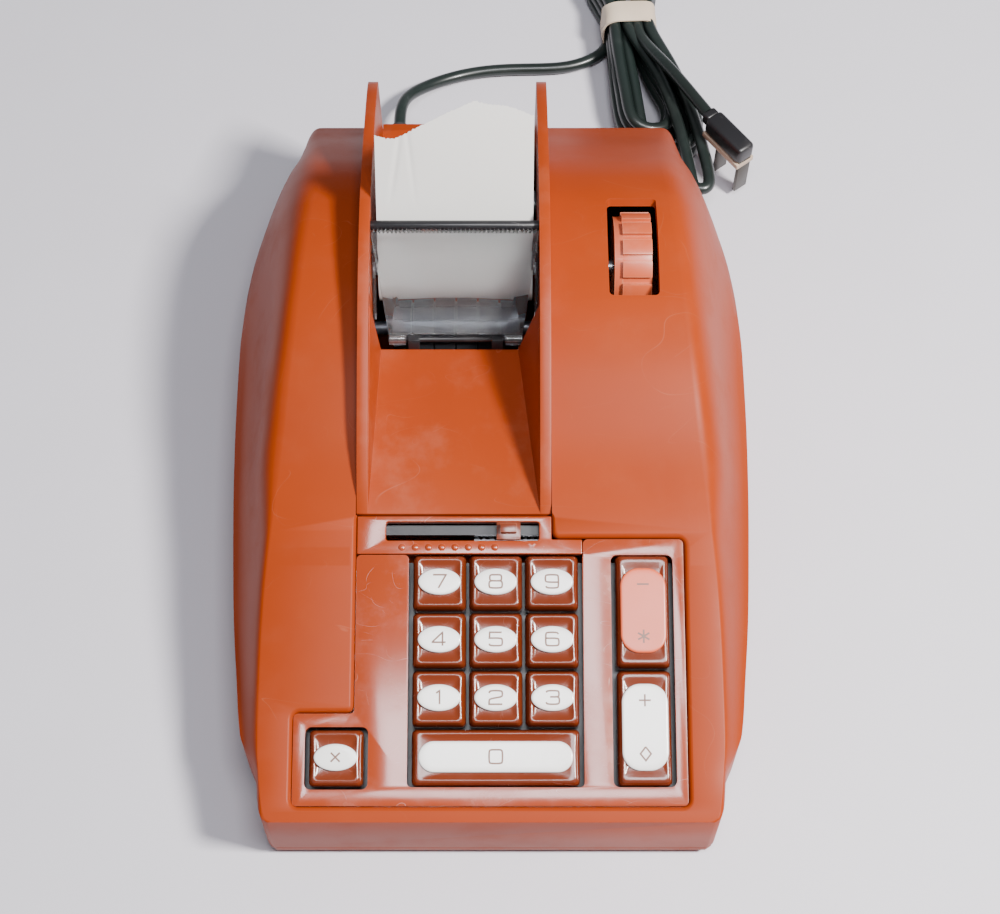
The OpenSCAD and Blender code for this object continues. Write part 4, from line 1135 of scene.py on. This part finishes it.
# Strokes of each sign in a unit square; a closed stroke ends where it starts
RING = [(0.5, 1), (0.1, 1), (0, 0.88), (0, 0.12), (0.1, 0), (0.9, 0), (1, 0.12), (1, 0.88), (0.9, 1),
        (0.5, 1)]
SIX = [(0.96, 0.86), (0.88, 1), (0.1, 1), (0, 0.88), (0, 0.12), (0.1, 0), (0.9, 0), (1, 0.12), (1, 0.45),
       (0.9, 0.56), (0.02, 0.56)]
SIGNS = {
    "0": [RING], "1": [[(0.3, 0.82), (0.56, 1), (0.56, 1), (0.56, 0)]],
    "2": [[(0, 0.82), (0.06, 1), (0.9, 1), (1, 0.88), (1, 0.64), (0.92, 0.54), (0.08, 0.4), (0, 0.28), (0, 0),
           (0, 0), (1, 0)]],
    "3": [[(0.02, 0.86), (0.08, 1), (0.88, 1), (0.97, 0.9), (0.97, 0.62), (0.88, 0.54), (0.3, 0.54)],
          [(0.8, 0.54), (0.92, 0.52), (1, 0.42), (1, 0.12), (0.9, 0), (0.08, 0), (0, 0.15)]],
    "4": [[(0.76, 0), (0.76, 1), (0.76, 1), (0, 0.3), (0, 0.26), (0, 0.26), (1, 0.26)]],
    "5": [[(0.96, 1), (0.05, 1), (0.05, 1), (0.02, 0.57), (0.02, 0.57), (0.9, 0.57), (1, 0.46), (1, 0.12),
           (0.9, 0), (0.08, 0),
           (0, 0.15)]],
    "6": [SIX], "7": [[(0, 1), (1, 1), (1, 1), (0.42, 0)]],
    "8": [[(0.5, 1), (0.14, 1), (0.05, 0.9), (0.05, 0.64), (0.14, 0.54), (0.86, 0.54), (0.95, 0.64),
           (0.95, 0.9),
           (0.86, 1), (0.5, 1)],
          [(0.5, 0.54), (0.1, 0.54), (0, 0.43), (0, 0.11), (0.1, 0), (0.9, 0), (1, 0.11), (1, 0.43),
           (0.9, 0.54), (0.5, 0.54)]],
    "9": [[(1 - a, 1 - b) for a, b in SIX]],
    "times": [[(0.05, 0.95), (0.95, 0.05)], [(0.05, 0.05), (0.95, 0.95)]],
    "minus": [[(0.05, 0.5), (0.95, 0.5)]],
    "plus": [[(0.05, 0.5), (0.95, 0.5)], [(0.5, 0.05), (0.5, 0.95)]],
    "total": [[(0.5, 0), (0.5, 1)], [(0.07, 0.25), (0.93, 0.75)], [(0.07, 0.75), (0.93, 0.25)]],
    "subtotal": [[(0.5, 1), (0.1, 0.5), (0.1, 0.5), (0.5, 0), (0.5, 0), (0.9, 0.5), (0.9, 0.5), (0.5, 1)]]}


LEGEND_LOW, LEGEND_TOP, STROKE_LIFT = 4.0, 4.165, 0.008


def eased(points, closed):
    """Cuts the corners of a stroke twice, so it turns smoothly; a doubled point stays sharp."""
    for _ in range(2):
        made = [points[0]]
        for p, q in zip(points, points[1:]):
            made += [p * 0.75 + q * 0.25, p * 0.25 + q * 0.75]
        points = made + [points[-1]]
    if closed:
        points = points[1:-1]
        points.append(points[0])
    return [p for k, p in enumerate(points) if k == 0 or (p - points[k - 1]).length > 1e-4]


def stroke(bm, points, width, place, n0, n1):
    """A printed stroke of even width along its points."""
    closed = (points[0] - points[-1]).length < 1e-4
    last = len(points) - 1
    sides = []
    for k, p in enumerate(points):
        before = points[k - 1] if k else points[last - 1] if closed else points[0]
        after = points[k + 1] if k < last else points[1] if closed else points[last]
        a, b = (p - before), (after - p)
        a = a.normalized() if a.length > 0 else b.normalized()
        b = b.normalized() if b.length > 0 else a
        way = (a + b).normalized() if (a + b).length > 0.05 else a
        reach = width / 2 / max(0.6, way.dot(a))
        off = Vector((-way.y, way.x)) * reach
        sides.append((p + off, p - off))
    rows = []
    for left, right in sides:
        section_points = ((left, n0), (left, n1), (right, n1), (right, n0))
        rows.append([bm.verts.new(place(q.x, q.y, n)) for q, n in section_points])
    for one, two in zip(rows, rows[1:]):
        for i in range(4):
            j = (i + 1) % 4
            bm.faces.new((one[i], one[j], two[j], two[i]))
    if not closed:
        bm.faces.new(rows[0])
        bm.faces.new(rows[-1])


class CALC_OT_legends(bpy.types.Operator):
    """Prints the digits and signs on the inserts"""

    bl_idname = "calculator.legends"
    bl_label = "Legends"

    def execute(self, context):
        width = context.scene.calc_keys.legend_width / MM
        for name, x, s, _, long in key_places():
            signs = [(name, 0.0)]
            if long == 2:
                signs = [(name, 9.0), ("total" if name == "minus" else "subtotal", -9.0)]
            bm = bmesh.new()
            for sign, up in signs:
                tall = 4.6
                broad = 3.4 if name == "times" else 4.5
                for k, line in enumerate(SIGNS[sign]):
                    points = [Vector(((a - 0.5) * broad, (b - 0.5) * (broad if name == "times" else tall)))
                              for a, b in line]
                    closed = (points[0] - points[-1]).length < 1e-4
                    stroke(bm, eased(points, closed) if len(points) > 2 else points, width,
                           lambda a, b, n, x=x, s=s, up=up: deck(x + a, s + up + b, n),
                           LEGEND_LOW, LEGEND_TOP + k * STROKE_LIFT)
            bmesh.ops.remove_doubles(bm, verts=bm.verts, dist=1e-6)
            bmesh.ops.recalc_face_normals(bm, faces=bm.faces)
            settle("legend_" + name, bm, "key_" + name + "_body", legend_ink(), 30.0)
        return {"FINISHED"}


# ---- Printing unit -------------------------------------------------------

PATH_R = 12.3
PAPER_OUT = 67.0

# Across the strip from its left edge, and how far the tear lies below the strip's full length
TEAR = [(0, 12.4), (5.6, 13.6), (15.7, 9.1), (25.3, 4.3), (33.5, 0.6), (35, 0.0), (38.9, 0.9),
        (45.8, 1.7), (56, 5.4)]


def strip_path():
    """The strip's line from the roll, round the platen and up behind the bail, as (y, z) pairs."""
    between = Vector((ROLL.y - PLATEN.y, ROLL.z - PLATEN.z))
    start = math.atan2(between.y, between.x) - math.acos((PATH_R + ROLL_R + 0.3) / between.length)
    end = math.radians(90) + PAPER_LEAN - math.tau
    middle = Vector((PLATEN.y, PLATEN.z))
    first = Vector((ROLL.y, ROLL.z)) - Vector((math.cos(start), math.sin(start))) * (ROLL_R + 0.3)
    round_start = middle + Vector((math.cos(start), math.sin(start))) * PATH_R
    path = [first.lerp(round_start, i / 6) for i in range(6)]
    steps = 46
    for i in range(steps + 1):
        a = start + (end - start) * i / steps
        path.append(middle + Vector((math.cos(a), math.sin(a))) * PATH_R)
    return path


def strip_free(up):
    """A point of the strip's free end, up millimetres from where it leaves the platen."""
    leave = Vector((PLATEN.y, PLATEN.z)) + Vector((-math.sin(PAPER_LEAN), math.cos(PAPER_LEAN))) * PATH_R
    return leave + Vector((math.cos(PAPER_LEAN), math.sin(PAPER_LEAN))) * up


class CALC_OT_paper_strip(bpy.types.Operator):
    """Bends the paper strip round the platen and tears its end off"""

    bl_idname = "calculator.paper_strip"
    bl_label = "Paper Strip"

    def execute(self, context):
        random.seed(11)
        slope = context.scene.calc_paper.tear / 0.013
        across, free_rows = 112, 48
        left = CHANNEL_X - PAPER_W / 2
        path = strip_path()
        bm = bmesh.new()
        columns = []
        for i in range(across + 1):
            x = i * PAPER_W / across
            drop = through([t[0] for t in TEAR], [t[1] for t in TEAR], x) * slope
            ragged = 0.32 * (i % 3 - 1) * random.random() + 0.25 * random.random()
            top = PAPER_OUT - drop - ragged
            column = [bm.verts.new(upright(left + x, p.x, p.y)) for p in path[:-1]]
            for k in range(free_rows + 1):
                up = top * k / free_rows
                p = strip_free(up)
                lift = max(0.0, (up - 27) / 40)
                crease = 0.35 * math.exp(-((x - 6.5 - (up - 40) * 0.16) / 0.9) ** 2) * min(1, lift * 3)
                crease += 0.25 * math.exp(-((x - 13 + (up - 40) * 0.1) / 0.8) ** 2) * min(1, lift * 2.2)
                curl = 0.9 * lift ** 2 + 0.5 * lift * ((x - 28) / 28) ** 2
                out = Vector((math.sin(PAPER_LEAN), -math.cos(PAPER_LEAN))) * (crease + curl)
                p = p + out
                column.append(bm.verts.new(upright(left + x, p.x, p.y)))
            columns.append(column)
        for one, two in zip(columns, columns[1:]):
            for k in range(len(one) - 1):
                bm.faces.new((one[k], one[k + 1], two[k + 1], two[k]))
        bmesh.ops.recalc_face_normals(bm, faces=bm.faces)
        bmesh.ops.solidify(bm, geom=bm.faces, thickness=0.16 * MM)
        settle("paper_strip_sheet", bm, "case", paper(), 40.0, ("paper_strip",))
        return {"FINISHED"}


class CALC_OT_window(bpy.types.Operator):
    """Softens the clear tear-off window and its hinge"""

    bl_idname = "calculator.window"
    bl_label = "Tear Off Window"

    def execute(self, context):
        softened("tear_off_window", "window_moulding", "window", acrylic(), 0.00015, 1, 30.0)
        softened("window_hinge", "hinge_lugs", "case", black_plastic(), 0.0003, 2)
        softened("paper_bail", "bail_bar", "case", black_plastic(), 0.0003, 2)
        return {"FINISHED"}


class CALC_OT_wheel(bpy.types.Operator):
    """Softens the paper feed thumbwheel and its grips"""

    bl_idname = "calculator.wheel"
    bl_label = "Feed Thumbwheel"

    def execute(self, context):
        softened("feed_thumbwheel", "thumbwheel", "platen", wheel_abs(), 0.0004, 3)
        softened("platen_roller", "platen_sleeve", "platen", black_rubber(), 0.0004, 2)
        softened("paper_roll", "paper_reel", "roll", paper(), 0.0004, 2)
        return {"FINISHED"}


class CALC_OT_mechanism(bpy.types.Operator):
    """Gives the pieces of the mechanism their finishes"""

    bl_idname = "calculator.mechanism"
    bl_label = "Mechanism"

    def execute(self, context):
        finishes = {
            "case_screws": steel, "key_guide": black_plastic, "spring_comb": steel, "side_frames": dark_steel,
            "carriage_rail": black_plastic, "pin_carriage": steel, "platen_shaft": steel,
            "roll_spindle": steel,
            "type_drum": dark_steel, "drive_gear": nylon, "ink_roller": inked_felt, "motor": motor_enamel,
            "motor_pinion": steel}
        for node, finish in finishes.items():
            dress(node, finish())
        return {"FINISHED"}




# ---- Stage ---------------------------------------------------------------

def area_light(name, place, aim, size, power, rgb=(1.0, 1.0, 1.0)):
    light = bpy.data.lights.new(name, "AREA")
    light.shape = "RECTANGLE"
    light.size, light.size_y = size
    light.energy = power
    light.color = rgb
    lamp = bpy.data.objects.new(name, light)
    lamp.location = place
    lamp.rotation_euler = (Vector(aim) - Vector(place)).to_track_quat("-Z", "Y").to_euler()
    bpy.context.scene.collection.objects.link(lamp)
    return lamp


class CALC_OT_stage(bpy.types.Operator):
    """Lays the pale floor, hangs the soft lights and sets the camera"""

    bl_idname = "calculator.stage"
    bl_label = "Stage"

    def execute(self, context):
        scene = context.scene
        sizes = scene.calc_stage
        bm = bmesh.new()
        bmesh.ops.create_grid(bm, x_segments=1, y_segments=1, size=3.0)
        mesh = bpy.data.meshes.new("studio_floor")
        bm.to_mesh(mesh)
        bm.free()
        mesh.materials.append(finish_of("studio_floor", sizes.floor_colour, 0.55, drift=0.015, dust=0.02,
                                        dust_rgb=(0.7, 0.69, 0.74), grain=300.0, grain_depth=0.02))
        floor = bpy.data.objects.new("studio_floor", mesh)
        scene.collection.objects.link(floor)
        world = bpy.data.worlds.new("studio")
        world.use_nodes = True
        world.node_tree.nodes["Background"].inputs[0].default_value = (0.82, 0.84, 0.9, 1.0)
        world.node_tree.nodes["Background"].inputs[1].default_value = 0.3
        scene.world = world
        area_light("key_light", (0.58, -0.24, 0.92), (0.0, 0.0, 0.03), (0.17, 0.17),
                   sizes.key_power, (1.0, 0.97, 0.94))
        area_light("softbox", (0.09, -0.26, 1.2), (0.05, -0.06, 0.05), (0.42, 0.26),
                   sizes.top_power, (0.94, 0.95, 1.0))
        camera = bpy.data.cameras.new("camera")
        camera.sensor_width = 36.0
        camera.lens = sizes.lens
        camera.shift_x = 0.009
        camera.clip_start = 0.01
        eye = bpy.data.objects.new("camera", camera)
        eye.location = (0.0, -0.3496, 0.6855)
        eye.rotation_euler = (math.radians(28.0), 0.0, 0.0)
        scene.collection.objects.link(eye)
        scene.camera = eye
        return {"FINISHED"}


# ---- Panel and registration ----------------------------------------------

SETTINGS = {
    "calc_case": CaseSettings, "calc_keys": KeySettings, "calc_paper": PaperSettings,
    "calc_printer": PrinterSettings, "calc_lead": LeadSettings, "calc_stage": StageSettings}

OPERATORS = [
    CALC_OT_stage, CALC_OT_cover, CALC_OT_base, CALC_OT_plate,
    CALC_OT_caps, CALC_OT_inserts, CALC_OT_legends, CALC_OT_paper_strip,
    CALC_OT_window, CALC_OT_wheel, CALC_OT_mechanism, CALC_OT_strain_relief,
    CALC_OT_hank_band, CALC_OT_plug, CALC_OT_lead]


class VIEW3D_PT_calculator(bpy.types.Panel):
    bl_label = "Desk Calculator"
    bl_idname = "VIEW3D_PT_calculator"
    bl_space_type = "VIEW_3D"
    bl_region_type = "UI"
    bl_category = "Calculator"

    def draw(self, context):
        column = self.layout.column(align=True)
        for made in OPERATORS:
            column.operator(made.bl_idname)
        for name in SETTINGS:
            group = getattr(context.scene, name)
            box = self.layout.box()
            for prop in group.bl_rna.properties:
                if prop.identifier not in {"rna_type", "name"}:
                    box.prop(group, prop.identifier)


def register():
    for made in [*SETTINGS.values(), *OPERATORS, VIEW3D_PT_calculator]:
        bpy.utils.register_class(made)
    for name, group in SETTINGS.items():
        setattr(bpy.types.Scene, name, bpy.props.PointerProperty(type=group))


def unregister():
    for name in SETTINGS:
        delattr(bpy.types.Scene, name)
    for made in reversed([*SETTINGS.values(), *OPERATORS, VIEW3D_PT_calculator]):
        bpy.utils.unregister_class(made)


def main():
    register()
    for made in OPERATORS:
        group, name = made.bl_idname.split(".")
        getattr(getattr(bpy.ops, group), name)()


if __name__ == "__main__":
    main()
